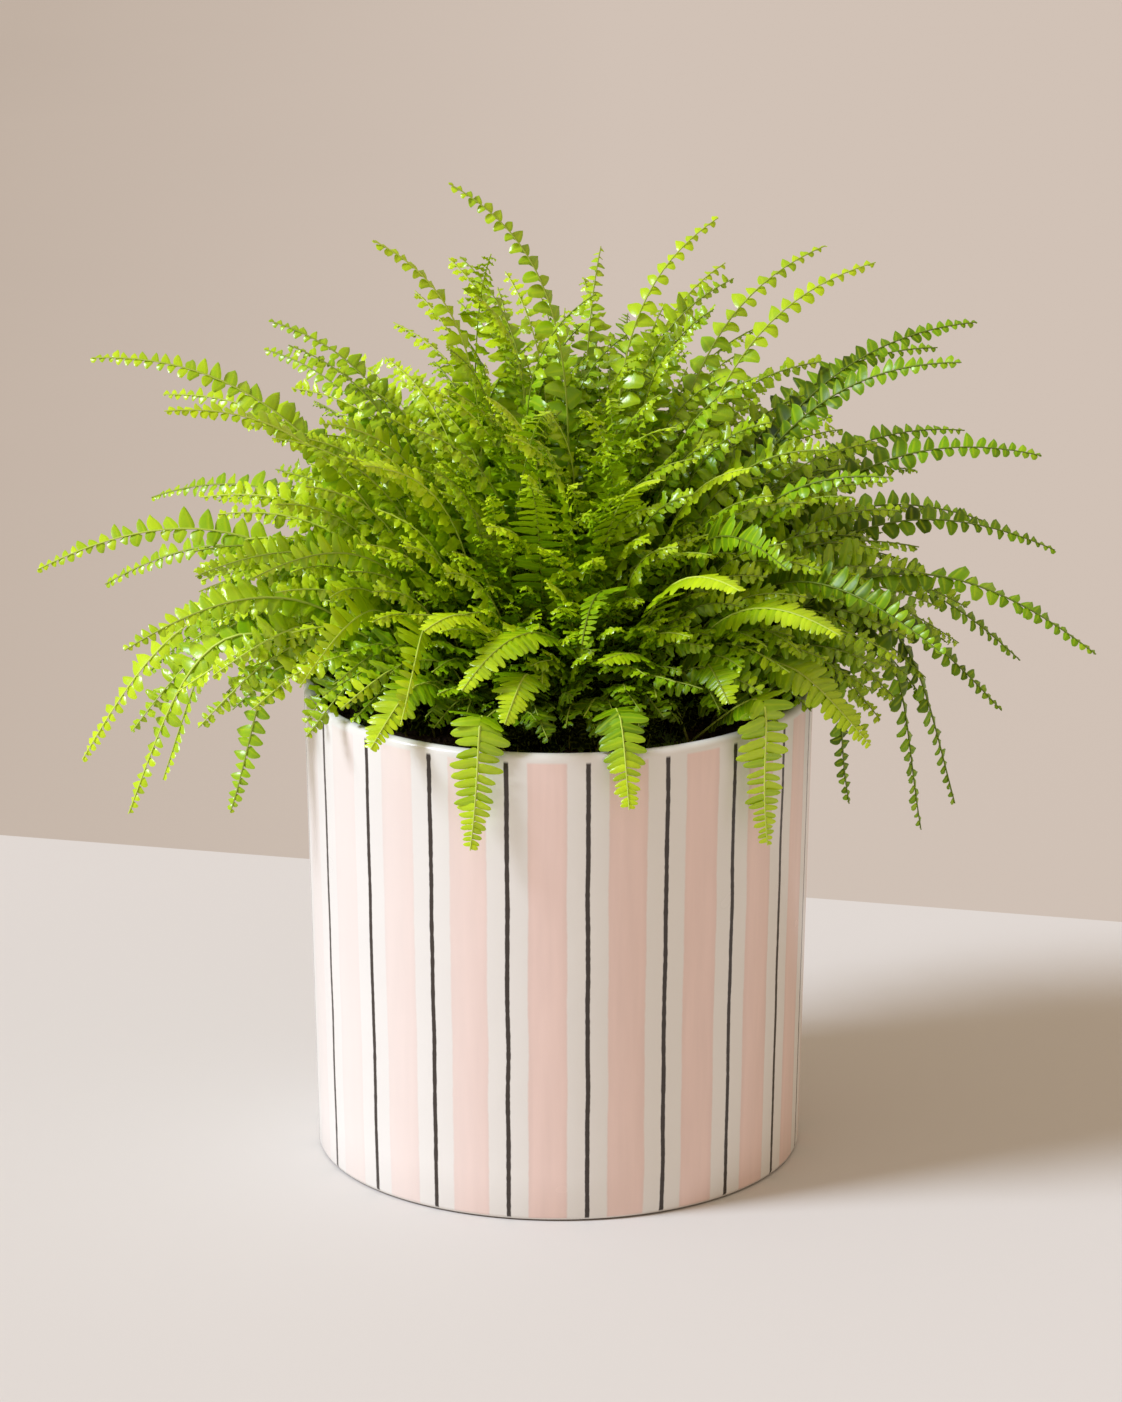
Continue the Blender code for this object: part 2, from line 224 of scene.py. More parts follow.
# Where each frond's tip is: millimetres across to the right, to the back, and up from the table
FROND_TIPS = {
    "left": (
        (-218, 20, 379), (-180, -50, 371), (-188, 70, 349), (-140, 78, 369), (-135, 35, 393),
        (-197, 105, 289), (-244, 0, 282), (-217, 60, 258), (-199, -70, 263),
        (-227, 25, 181), (-203, -10, 165), (-191, 60, 160), (-153, -45, 177),
    ),
    "top": (
        (-85, -20, 444), (-46, 30, 425), (-33, 85, 394), (-50, -5, 467), (20, 70, 421),
        (74, 15, 447), (79, 75, 412), (125, 45, 427), (147, 10, 427),
    ),
    "right": (
        (195, 25, 395), (182, 103, 364), (185, -30, 389), (193, 60, 334), (226, 12, 334),
        (152, -75, 346), (234, 20, 286), (203, 70, 287), (250, -32, 250), (221, 50, 223),
        (209, 0, 213), (190, 35, 156), (172, 0, 154), (136, -35, 178),
    ),
    "front": (
        (143, -85, 222), (96, -95, 177), (127, -115, 283), (81, -140, 311), (32, -135, 207),
        (-40, -130, 186), (-24, -150, 252), (-85, -120, 231), (-60, -135, 291), (-88, -80, 353),
        (-13, -110, 351), (46, -105, 353), (87, -70, 349),
    ),
    "back": (
        (0, 150, 345), (-70, 165, 320), (75, 160, 325), (-110, 150, 270), (120, 150, 275),
        (-40, 190, 250), (50, 195, 245), (0, 168, 190), (-100, 130, 185),
    ),
}

# Fronds whose foot isn't straight below their arch: millimetres by which it's moved to the right and back
MOVED_FEET = {
    "frond_top_01": (-7, -8),
    "frond_top_02": (2, 5),
    "frond_top_04": (26, -6),
    "frond_top_08": (0, -2),
    "frond_top_09": (0, -8),
    "frond_right_09": (0, -6),
    "frond_right_11": (0, 6),
}


class LeafletWay(NamedTuple):
    """How the leaflets of one side of the plant stand."""
    pitch: float     # their spacing along the rib
    length: float    # their length as a share of the solid's
    fullness: float  # their breadth as a share of their spacing
    hang: float      # how far they hang below the blade
    skyward: float   # how far they turn from the blade to face the sky
    turn: float      # how far each turns out of line
    tones: tuple     # the least and most of how young the fronds look


# The tones also paint light and shade: higher on the lit left, and below zero on the right, away from the key
# light, as painted shade.
LEAFLET_WAYS = {
    "left": LeafletWay(0.0088, 0.66, 1.10, -0.04, 0.12, math.radians(12), (0.10, 0.80)),
    "top": LeafletWay(0.0108, 0.66, 1.00, 0.12, 0.30, math.radians(11), (0.15, 0.60)),
    "right": LeafletWay(0.0090, 0.64, 1.12, -0.08, 0.05, math.radians(12), (-0.60, -0.20)),
    "front": LeafletWay(0.0062, 0.94, 1.08, 0.12, 0.00, math.radians(6), (0.15, 0.70)),
    "back": LeafletWay(0.0092, 0.66, 1.04, 0.10, 0.25, math.radians(16), (0.00, 0.50)),
    "young": LeafletWay(0.0098, 0.88, 1.04, 0.16, 0.14, math.radians(22), (0.05, 1.10)),
}

# How the leaflets change along a frond, and how the rib is drawn
USUAL_LENGTH = 0.24
PITCH_PER_LENGTH = 1.6
TIP_PITCH_SHARE = 0.42
PITCH_TAPER_FROM = 0.55
TIP_BREADTH_SHARE = 0.80
UPPER_LONGER = 0.34
LATER_TAPER = 1.25
LEAFLETS_VARY = (0.80, 1.14)
RIB_FINER = 0.72
RIB_STEP = 0.007
RIB_SIDES = 3
BARE_STOPS = 4
STALK_IN_SOIL = 0.010
NOISE_SPAN = 4.0

# How young a leaflet looks, in parts: at the frond's foot and tip, by its frond's tone, by its own tone and
# by the mottling of its skin. Painted shade then darkens it deep in the plant and close over the soil.
YOUTH_ALONG = (0.06, 0.48)
YOUTH_OF_FROND = 0.46
YOUTH_OF_LEAFLET = 0.26
YOUTH_OF_MOTTLE = 0.10
LEAF_MOTTLE = 3.3333 * MM
LEAF_MOTTLE_HEIGHT = 0.4 * MM
LIGHT_THROUGH = 0.32
STALK_FIBRE = 2.0 * MM
STALK_FIBRE_HEIGHT = 0.3 * MM

# The young fronds between the others: how far the plant reaches to each side, the share of it that they
# fill, how they stand, and how young they look in the middle, with painted shade that darkens them to the
# right
YOUNG_FRONDS = 600
YOUNG_PIECES = 10
YOUNG_REACH = {"across": 0.228, "front": 0.150, "back": 0.180, "up": 0.250}
YOUNG_SHARE = (0.58, 0.90)
YOUNG_FRONT_SHARE = 0.74
YOUNG_BARE = 0.45
YOUNG_LEAST_FALL = math.radians(4)
YOUNG_MOST_FALL = math.radians(94)
YOUNG_FRONT_FALL = math.radians(82)
YOUNG_SWAY = 0.12
YOUNG_ROLL = math.radians(40)
YOUNG_FEET_MOVED = 14
YOUNG_TONE = 0.62
YOUNG_SHADE_RIGHTWARD = -0.46
YOUNG_SEED_FROM = 100
GOLDEN_TURN = math.radians(137.508)

# A leaflet's outline, from the rib outwards: how far out each point of its margin is, and how far it
# spreads there to the frond's tip and to its foot. Domed ones are the tall fronds' leaflets, short ones the
# young fronds', and long ones the front fronds', which lie close together.
DOMED_OUTLINES = {
    "cap": (
        (0.04, 0.44, 0.26), (0.17, 0.56, 0.29), (0.36, 0.60, 0.26), (0.56, 0.54, 0.21), (0.75, 0.40, 0.16),
        (0.91, 0.21, 0.10),
    ),
    "lobe": (
        (0.04, 0.44, 0.30), (0.18, 0.54, 0.34), (0.38, 0.57, 0.33), (0.58, 0.55, 0.28), (0.77, 0.44, 0.22),
        (0.92, 0.24, 0.13),
    ),
    "fan": (
        (0.03, 0.48, 0.22), (0.15, 0.62, 0.27), (0.33, 0.63, 0.26), (0.53, 0.53, 0.22), (0.73, 0.38, 0.17),
        (0.90, 0.20, 0.11),
    ),
}
SHORT_OUTLINES = {
    "wedge": (
        (0.03, 0.36, 0.30), (0.14, 0.52, 0.40), (0.29, 0.46, 0.44), (0.44, 0.46, 0.38), (0.60, 0.34, 0.36),
        (0.76, 0.30, 0.25), (0.91, 0.14, 0.16),
    ),
    "heart": (
        (0.02, 0.44, 0.22), (0.12, 0.60, 0.34), (0.28, 0.52, 0.45), (0.44, 0.42, 0.40), (0.60, 0.42, 0.31),
        (0.77, 0.28, 0.28), (0.92, 0.17, 0.13),
    ),
    "round": (
        (0.04, 0.30, 0.26), (0.16, 0.50, 0.36), (0.32, 0.49, 0.46), (0.48, 0.52, 0.41), (0.64, 0.44, 0.43),
        (0.80, 0.38, 0.30), (0.94, 0.19, 0.20),
    ),
}
LONG_OUTLINES = {
    "oblong": (
        (0.03, 0.50, 0.44), (0.16, 0.58, 0.52), (0.33, 0.55, 0.52), (0.52, 0.53, 0.47), (0.70, 0.47, 0.43),
        (0.86, 0.37, 0.32), (0.96, 0.20, 0.18),
    ),
    "eared": (
        (0.02, 0.56, 0.38), (0.14, 0.64, 0.46), (0.32, 0.56, 0.50), (0.51, 0.51, 0.46), (0.69, 0.46, 0.42),
        (0.85, 0.36, 0.33), (0.96, 0.19, 0.20),
    ),
    "wavy": (
        (0.03, 0.48, 0.42), (0.15, 0.56, 0.54), (0.32, 0.58, 0.50), (0.51, 0.50, 0.50), (0.69, 0.50, 0.41),
        (0.85, 0.35, 0.36), (0.96, 0.21, 0.17),
    ),
}


class LeafletDetail(NamedTuple):
    """How finely a leaflet is shaped."""
    rows: tuple     # which points of its outline it has
    veins: tuple    # how far out the points of its middle vein are, on its upper face
    under: tuple    # and on its lower face
    rounded: bool   # whether its blade is also rounded half-way to the margin
    hang: float     # how far its margin hangs
    wave: float     # how far its margin waves
    shingle: float  # how far it lies under the next leaflet


FRONT_LEAFLET = LeafletDetail(
    (0, 1, 2, 3, 4, 5, 6), (0.12, 0.38, 0.62, 0.85), (0.30, 0.70), True, 0.12, 0.03, 0.16)
TALL_LEAFLET = LeafletDetail((0, 1, 2, 3, 4, 5), (0.14, 0.44, 0.74), (0.45,), False, 0.16, 0.0, 0.05)
YOUNG_LEAFLET = LeafletDetail((0, 1, 3, 4, 6), (0.15, 0.45, 0.78), (0.45,), False, 0.20, 0.13, 0.12)

# How far a leaflet's blade bows down to its tip, and how deep its middle vein and its underside lie below it
LEAFLET_BOW = -0.34
MIDRIB_GROOVE = 0.05
UNDERSIDE_DEPTH = 0.10
TIP_FROM_MIDDLE = 0.4

# The key light, large and far off, high on the left and a little to the front
KEY_FROM = Vector((-1.45, -0.47, 1.29))
KEY_SOFTNESS = math.radians(17)

# The photograph's camera
PHOTO_HEIGHT = 1402
CAMERA_TARGET = Vector((0.0012, 0.0, 0.2177))
CAMERA_DISTANCE = 2.985
CAMERA_RAISED = math.radians(16.72)
FOCAL_PIXELS = 6334
SENSOR = 36.0

# The pale floor ends behind the plant on a slanting line, past which lies a duller ground
FLOOR_END_LEFT = Vector((-0.3084, 0.4677, 0.0))
FLOOR_END_RIGHT = Vector((0.2981, 0.3181, 0.0))
FLOOR_REACH = 3.0
GROUND_REACH = 14.0
FLOOR_THICKNESS_SHOWN = 0.0005

# The paper of both is barely mottled, and paler to the right by this much in red, green and blue; on the
# backdrop this is painted light
PAPER_MOTTLE = 333.33 * MM
PALER_FROM = -0.5
PALER_TO = 0.05
FLOOR_PALER = (1.0, 1.0, 1.0)
BACKDROP_PAINTED_LIGHT = (1.18, 1.21, 1.26)


def linear(hex_colour):
    """An sRGB hex value as linear red, green and blue."""
    channels = [int(hex_colour[i:i + 2], 16) / 255 for i in (1, 3, 5)]
    return tuple(c / 12.92 if c <= 0.04045 else ((c + 0.055) / 1.055) ** 2.4 for c in channels)


def rgba(colour, brighter=1.0):
    """A linear colour as a node's value, this many times as bright."""
    return (*(min(1.0, brighter * c) for c in colour), 1.0)


def add_node(tree, kind, *given, **settings):
    """A new node with these settings. What is given goes to its sockets in use, in their order, or in a
    dictionary to the sockets with these identifiers. It is a value, another socket, a node, whose first
    output in use is then meant, or a list of them."""
    made = tree.nodes.new(kind)
    for name, value in settings.items():
        setattr(made, name, value)
    filled = list(zip([socket for socket in made.inputs if socket.enabled], given))
    if given and isinstance(given[-1], dict):
        filled.pop()
        for key, value in given[-1].items():
            filled.append((next(s for s in made.inputs if s.identifier == key), value))
    for socket, values in filled:
        for value in values if isinstance(values, list) else [values]:
            if isinstance(value, bpy.types.Node):
                value = next(s for s in value.outputs if s.enabled)
            if isinstance(value, bpy.types.NodeSocket):
                tree.links.new(value, socket)
            else:
                socket.default_value = value
    return made


def new_material(name):
    """An empty material, and the function that adds a node to it."""
    made = bpy.data.materials.new(name)
    made.use_nodes = True
    made.node_tree.nodes.clear()
    return made, partial(add_node, made.node_tree)


def new_tree(name, inputs):
    """A Geometry Nodes tree with a mesh in and out and these named inputs, the function that adds a node to
    it, the sockets of its inputs, and the socket of its result."""
    tree = bpy.data.node_groups.new(name, "GeometryNodeTree")
    tree.interface.new_socket(name="Mesh", in_out="INPUT", socket_type="NodeSocketGeometry")
    tree.interface.new_socket(name="Mesh", in_out="OUTPUT", socket_type="NodeSocketGeometry")
    for label, kind in inputs:
        tree.interface.new_socket(name=label, in_out="INPUT", socket_type=f"NodeSocket{kind}")
    given, result = tree.nodes.new("NodeGroupInput"), tree.nodes.new("NodeGroupOutput")
    return tree, partial(add_node, tree), given.outputs, result.inputs[0]


def mesh_object(name, points, faces, edges=(), smooth=True):
    mesh = bpy.data.meshes.new(name)
    mesh.from_pydata(points, edges, faces)
    mesh.polygons.foreach_set("use_smooth", [smooth] * len(mesh.polygons))
    obj = bpy.data.objects.new(name, mesh)
    bpy.context.scene.collection.objects.link(obj)
    return obj


def store(mesh, key, values, kind="FLOAT", domain="POINT"):
    """Keeps values as a named attribute of a mesh."""
    layer = mesh.attributes.new(key, kind, domain)
    layer.data.foreach_set("vector" if kind == "FLOAT_VECTOR" else "value", values)


def grown(obj, tree, values):
    """The object with the tree's result as its plain mesh. Values are given by the names of the tree's
    inputs."""
    modifier = obj.modifiers.new(tree.name, "NODES")
    modifier.node_group = tree
    for item in tree.interface.items_tree:
        if item.in_out == "INPUT" and item.name in values:
            modifier[item.identifier] = values[item.name]
    graph = bpy.context.evaluated_depsgraph_get()
    mesh = bpy.data.meshes.new_from_object(obj.evaluated_get(graph))
    obj.modifiers.clear()
    obj.data = mesh
    return obj


def finished(obj, slot, *nodes):
    """Makes an object a piece that rides on the body and stands for these solids, whose parts it hides. The
    slot that would name its finish is not used."""
    if not obj.data.polygons:
        raise RuntimeError(f"{obj.name} has no faces")
    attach(obj, BODY)
    if nodes:
        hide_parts(*nodes)


# The pot


class FernPotSettings(bpy.types.PropertyGroup):
    stripes: IntProperty(name="Stripes", description="How often the stripes repeat round the pot", default=20)
    first_line: FloatProperty(name="First line", description="The angle from the front to a dark line",
                              default=math.radians(6.6), subtype="ANGLE")
    line_width: FloatProperty(name="Line width", description="The width of a dark line", default=2.1 * MM,
                              unit="LENGTH")
    white_width: FloatProperty(name="White width", description="The white on each side of a line",
                               default=8.6 * MM, unit="LENGTH")
    white: FloatVectorProperty(name="White glaze", description="The colour of the ground glaze",
                               default=linear("#ECE8E1"), size=3, subtype="COLOR")
    pink: FloatVectorProperty(name="Pink glaze", description="The colour of the broad stripes",
                              default=linear("#F0D4C9"), size=3, subtype="COLOR")
    line: FloatVectorProperty(name="Line glaze", description="The colour of the dark lines",
                              default=linear("#372E28"), size=3, subtype="COLOR")
    # The dark brown of the foot's lowest millimetre
    clay: FloatVectorProperty(name="Bare clay", description="The colour of the unglazed foot",
                              default=linear("#6E5644"), size=3, subtype="COLOR")


def outer_radius(height):
    return FOOT_RADIUS + (RIM_RADIUS - FOOT_RADIUS) * height / POT_HEIGHT


def turned(name, profile, steps):
    """A closed profile of (radius, height) points, from its top outside to the axis and back, spun round
    Z."""
    points, rings = [], []
    for radius, height in profile:
        first = len(points)
        if radius == 0:
            points.append((0.0, 0.0, height))
            rings.append([first] * steps)
            continue
        for i in range(steps):
            angle = 2 * math.pi * i / steps
            points.append((radius * math.cos(angle), radius * math.sin(angle), height))
        rings.append(list(range(first, first + steps)))
    faces = []
    for upper, lower in zip(rings, rings[1:] + rings[:1]):
        for i in range(steps):
            j = (i + 1) % steps
            corners = dict.fromkeys((upper[i], lower[i], lower[j], upper[j]))
            if len(corners) > 2:
                faces.append(tuple(corners))
    return mesh_object(name, points, faces)


def pot_profile():
    """The pot's section: a full round bead for its lip, straight walls and a flat foot with an eased edge."""
    bead = WALL / 2
    middle, bead_height = RIM_RADIUS - bead, POT_HEIGHT - bead
    angles = [math.pi * i / LIP_STEPS for i in range(LIP_STEPS + 1)]
    lip = [(middle + bead * math.cos(angle), bead_height + bead * math.sin(angle)) for angle in angles]
    inside = lip.pop()
    quarter = FOOT_ROUNDING * (1 - math.sqrt(0.5))
    heights = [POT_HEIGHT * share for share in WALL_STOPS]
    outside = [(outer_radius(height), height) for height in heights]
    foot = [
        (outer_radius(FOOT_ROUNDING), FOOT_ROUNDING), (FOOT_RADIUS - quarter, quarter),
        (FOOT_RADIUS - FOOT_ROUNDING, 0.0), (0.7 * FOOT_RADIUS, 0.0), (0.0, 0.0), (0.0, FLOOR_THICKNESS),
        (outer_radius(FLOOR_THICKNESS) - WALL, FLOOR_THICKNESS),
    ]
    inner = [(outer_radius(height) - WALL, height) for height in reversed(heights[:-1])]
    return outside + foot + inner + [inside] + lip[::-1]


def distance_from_line(add, settings, place):
    """How far a point lies from the middle of the nearest dark line, as the brush has drawn it."""
    across, back, up = add("ShaderNodeSeparateXYZ", place).outputs
    front = add("ShaderNodeMath", back, -1.0, operation="MULTIPLY")
    angle = add("ShaderNodeMath", across, front, operation="ARCTAN2")
    per_angle = settings.stripes / (2 * math.pi)
    turns = add("ShaderNodeMath", angle, per_angle, operation="MULTIPLY")
    turns = add("ShaderNodeMath", turns, settings.first_line * per_angle, operation="SUBTRACT")
    stroke = add("ShaderNodeMath", turns, 0.5, operation="ADD")
    # Each brush stroke wavers on its own: the noise reads the stroke's number and the height.
    number = add("ShaderNodeMath", stroke, operation="FLOOR")
    apart = add("ShaderNodeMath", number, STROKES_APART, operation="MULTIPLY")
    stroke_place = add("ShaderNodeCombineXYZ", {"X": apart, "Z": up})
    noises = []
    for length in (STROKE_WAVER_LENGTH, STROKE_RAGGED_LENGTH):
        stretched = add("ShaderNodeVectorMath", stroke_place, (1.0, 1.0, 1 / length), operation="MULTIPLY")
        noises.append(add("ShaderNodeTexNoise", {"Vector": stretched, "Scale": 1.0, "Detail": 1.0}))
    period = 2 * math.pi * RIM_RADIUS / settings.stripes
    shift = add("ShaderNodeMapRange", {
        "Value": noises[0], "To Min": -STROKE_WAVER / period, "To Max": STROKE_WAVER / period})
    moved = add("ShaderNodeMath", stroke, shift, operation="ADD")
    within = add("ShaderNodeMath", moved, operation="FRACT")
    centred = add("ShaderNodeMath", within, 0.5, operation="SUBTRACT")
    distance = add("ShaderNodeMath", centred, operation="ABSOLUTE")
    distance = add("ShaderNodeMath", distance, period, operation="MULTIPLY")
    ragged = add("ShaderNodeMapRange", {
        "Value": noises[1], "To Min": -STROKE_RAGGED, "To Max": STROKE_RAGGED})
    return add("ShaderNodeMath", distance, ragged, operation="ADD")


def painted_part(add, place):
    """Where paint lies: the strokes begin under the lip and end just above the foot, on the outside only."""
    across, back, up = add("ShaderNodeSeparateXYZ", place).outputs
    top = add("ShaderNodeMapRange", {
        "Value": up, "From Min": PAINT_TOP[0], "From Max": PAINT_TOP[1], "To Min": 1.0, "To Max": 0.0})
    low = add("ShaderNodeMapRange", {"Value": up, "From Min": PAINT_FOOT[0], "From Max": PAINT_FOOT[1]})
    level = add("ShaderNodeCombineXYZ", across, back)
    radius = add("ShaderNodeVectorMath", level, operation="LENGTH")
    taper = (RIM_RADIUS - FOOT_RADIUS) / POT_HEIGHT
    widening = add("ShaderNodeMath", up, taper, operation="MULTIPLY")
    reduced = add("ShaderNodeMath", radius, widening, operation="SUBTRACT")
    outside = add("ShaderNodeMath", reduced, FOOT_RADIUS - WALL / 2, operation="GREATER_THAN")
    painted = add("ShaderNodeMath", top, low, operation="MULTIPLY")
    return add("ShaderNodeMath", painted, outside, operation="MULTIPLY")


def brushed_pink(add, settings, place, edge, white_end):
    """Brushed pink: it lies in streaks, and pools a little darker along the stroke's edge."""
    stretch = (1 / STREAK_WIDTH, 1 / STREAK_WIDTH, 1 / STREAK_LENGTH)
    streak_place = add("ShaderNodeVectorMath", place, stretch, operation="MULTIPLY")
    streaks = add("ShaderNodeTexNoise", {"Vector": streak_place, "Scale": 1.0, "Detail": 3.0})
    pooled = add("ShaderNodeMapRange", {
        "Value": edge, "From Min": white_end, "From Max": white_end + POOLED_WIDTH, "To Min": 0.35,
        "To Max": 0.0})
    depth = add("ShaderNodeMath", streaks, pooled, operation="ADD")
    return add("ShaderNodeMix", depth, rgba(settings.pink, 1.06), rgba(settings.pink, 0.90),
               data_type="RGBA")


def glazed_stoneware(settings):
    """Glazed stoneware, thrown and painted by hand under a clear glaze: a smooth wet gloss over slightly
    uneven stripes, whose edges waver with the brush, and pink that pools a little darker in places. On the
    pot's left the pink is painted paler, a painted highlight where the key light falls."""
    made, add = new_material("glazed stoneware, striped by hand")
    place = add("ShaderNodeTexCoord").outputs["Object"]
    across, _, up = add("ShaderNodeSeparateXYZ", place).outputs
    edge = distance_from_line(add, settings, place)
    line_end = settings.line_width / 2
    white_end = line_end + settings.white_width
    is_line = add("ShaderNodeMapRange", {
        "Value": edge, "From Min": line_end + LINE_EDGE[0], "From Max": line_end + LINE_EDGE[1],
        "To Min": 1.0, "To Max": 0.0})
    is_pink = add("ShaderNodeMapRange", {
        "Value": edge, "From Min": white_end + PINK_EDGE[0], "From Max": white_end + PINK_EDGE[1]})
    painted = painted_part(add, place)
    line_here, pink_here = [
        add("ShaderNodeMath", part, painted, operation="MULTIPLY")
        for part in (is_line, is_pink)]
    # The pink is painted paler on the pot's left: a painted highlight where the key light falls brightest.
    painted_highlight = add("ShaderNodeMapRange", {
        "Value": across, "From Min": PINK_PAINTED_HIGHLIGHT[0], "From Max": PINK_PAINTED_HIGHLIGHT[1], "To Min": 0.22})
    pink_here = add("ShaderNodeMath", pink_here, painted_highlight, operation="MULTIPLY")
    # The very foot, up to about a millimetre, is dark brown.
    dark_foot = add("ShaderNodeMapRange", {
        "Value": up, "From Min": DARK_FOOT_HEIGHTS[0], "From Max": DARK_FOOT_HEIGHTS[1], "To Min": 1.0, "To Max": 0.0})
    clouds = add("ShaderNodeTexNoise", {"Vector": place, "Scale": 1 / GLAZE_CLOUD, "Detail": 2.0})
    colour = rgba(settings.white)
    for share, coat in ((clouds, rgba(settings.white, 0.94)),
                        (pink_here, brushed_pink(add, settings, place, edge, white_end)),
                        (line_here, rgba(settings.line)), (dark_foot, rgba(settings.clay))):
        colour = add("ShaderNodeMix", share, colour, coat, data_type="RGBA")
    # The glaze lies in faint waves, and is thinner over the thick paint of the lines.
    waves = add("ShaderNodeTexNoise", {"Vector": place, "Scale": 1 / GLAZE_WAVE, "Detail": 2.0})
    height = add("ShaderNodeMath", line_here, 0.25, waves, operation="MULTIPLY_ADD")
    bump = add("ShaderNodeBump", {"Height": height, "Strength": 0.35, "Distance": GLAZE_WAVE_HEIGHT})
    gloss = add("ShaderNodeMapRange", {"Value": clouds, "To Min": 0.20, "To Max": 0.30})
    shader = add("ShaderNodeBsdfPrincipled", {
        "Base Color": colour, "Roughness": gloss, "IOR": 1.5, "Normal": bump})
    add("ShaderNodeOutputMaterial", shader)
    return made


class FERN_OT_pot(bpy.types.Operator):
    """Makes the glazed pot with its painted stripes"""
    bl_idname = "fern.pot"
    bl_label = "Glazed pot"

    def execute(self, context):
        pot = turned("glazed_pot", pot_profile(), POT_STEPS)
        pot.data.materials.append(glazed_stoneware(context.scene.fern_pot))
        finished(pot, "glaze", "pot")
        return {"FINISHED"}


# The soil


class FernSoilSettings(bpy.types.PropertyGroup):
    crumb_size: FloatProperty(name="Crumb size", description="How wide an average crumb of peat is",
                              default=2.6 * MM, unit="LENGTH")
    crumb_density: FloatProperty(name="Crumbs", description="How many crumbs lie on a square metre",
                                 default=38000.0)
    moss_height: FloatProperty(name="Moss height", description="How high an average moss shoot is",
                               default=3.9 * MM, unit="LENGTH")
    moss_density: FloatProperty(name="Moss", description="How many moss shoots stand on a mossy square metre",
                                default=110000.0)
    seed: IntProperty(name="Seed", description="Changes how the crumbs and the moss lie", default=4)
    peat: FloatVectorProperty(name="Peat", description="The colour of the damp peat",
                              default=linear("#412E1E"), size=3, subtype="COLOR")
    moss: FloatVectorProperty(name="Moss", description="The colour of the moss",
                              default=linear("#6F8A24"), size=3, subtype="COLOR")


def soil_top(radius):
    """Height of the soil, which is mounded a little towards its middle."""
    return POT_HEIGHT - SOIL_BELOW_RIM + SOIL_MOUND * (1 - (radius / RIM_RADIUS) ** 2)


def damp_peat(settings):
    """Damp peat with bark fibre, sieved and watered in: nearly black and dull, with paler dry fibres."""
    made, add = new_material("damp peat")
    place = add("ShaderNodeTexCoord").outputs["Object"]
    grain = add("ShaderNodeTexNoise", {
        "Vector": place, "Scale": 1 / PEAT_GRAIN, "Detail": 4.0, "Roughness": 0.65})
    lumps = add("ShaderNodeTexNoise", {"Vector": place, "Scale": 1 / PEAT_LUMP, "Detail": 2.0})
    fibres = add("ShaderNodeMix", grain, rgba(settings.peat, 0.45), rgba(settings.peat, 2.6),
                 data_type="RGBA")
    colour = add("ShaderNodeMix", lumps, rgba(settings.peat), fibres, data_type="RGBA")
    bump = add("ShaderNodeBump", {"Height": grain, "Strength": 0.7, "Distance": PEAT_GRAIN_HEIGHT})
    damp = add("ShaderNodeMapRange", {"Value": lumps, "To Min": 0.7, "To Max": 0.98})
    shader = add("ShaderNodeBsdfPrincipled", {"Base Color": colour, "Roughness": damp, "Normal": bump})
    add("ShaderNodeOutputMaterial", shader)
    return made


def living_moss(settings):
    """Living cushion moss: soft, dull green shoots, lighter and darker in tufts."""
    made, add = new_material("living moss")
    place = add("ShaderNodeTexCoord").outputs["Object"]
    tufts = add("ShaderNodeTexNoise", {"Vector": place, "Scale": 1 / MOSS_TUFT, "Detail": 2.0})
    colour = add("ShaderNodeMix", tufts, rgba(settings.moss, 0.45), rgba(settings.moss, 1.7),
                 data_type="RGBA")
    fuzz = add("ShaderNodeBump", {"Height": tufts, "Strength": 0.4, "Distance": 0.5 * MM})
    shader = add("ShaderNodeBsdfPrincipled", {
        "Base Color": colour, "Roughness": 0.8, "Normal": fuzz, "Sheen Weight": 0.2})
    add("ShaderNodeOutputMaterial", shader)
    return made


def soil_shape():
    """The soil's body, with an uneven top that keeps under the rim."""
    edge_height = soil_top(RIM_RADIUS)
    bottom = FLOOR_THICKNESS + SEAT_GAP
    edge = outer_radius(edge_height) - WALL - SEAT_GAP
    foot = outer_radius(bottom) - WALL - SEAT_GAP
    radii = [edge * i / SOIL_RINGS for i in range(SOIL_RINGS)]
    profile = [(edge, edge_height), (foot, bottom), (0.0, bottom)]
    profile += [(radius, soil_top(radius)) for radius in radii]
    soil = turned("peat_soil", profile, SOIL_STEPS)
    for vertex in soil.data.vertices:
        radius = math.hypot(vertex.co.x, vertex.co.y)
        if vertex.co.z > edge_height - MM and radius < edge - MM:
            lumps = noise.fractal(vertex.co * SOIL_LUMPS_PER_METRE, 1.0, 2.0, 3)
            vertex.co.z += SOIL_LUMP_HEIGHT * lumps
    return soil


def crumb_shape(name, squash):
    """One crumb of peat: a small uneven lump, a unit wide."""
    bpy.ops.mesh.primitive_ico_sphere_add(subdivisions=1, radius=0.5)
    crumb = bpy.context.active_object
    crumb.name = name
    own_place = Vector((squash * CRUMBS_APART, 0, 0))
    for vertex in crumb.data.vertices:
        vertex.co *= 1 + CRUMB_UNEVEN * noise.noise(vertex.co * CRUMB_LUMPS + own_place)
        vertex.co.z *= squash
    return crumb


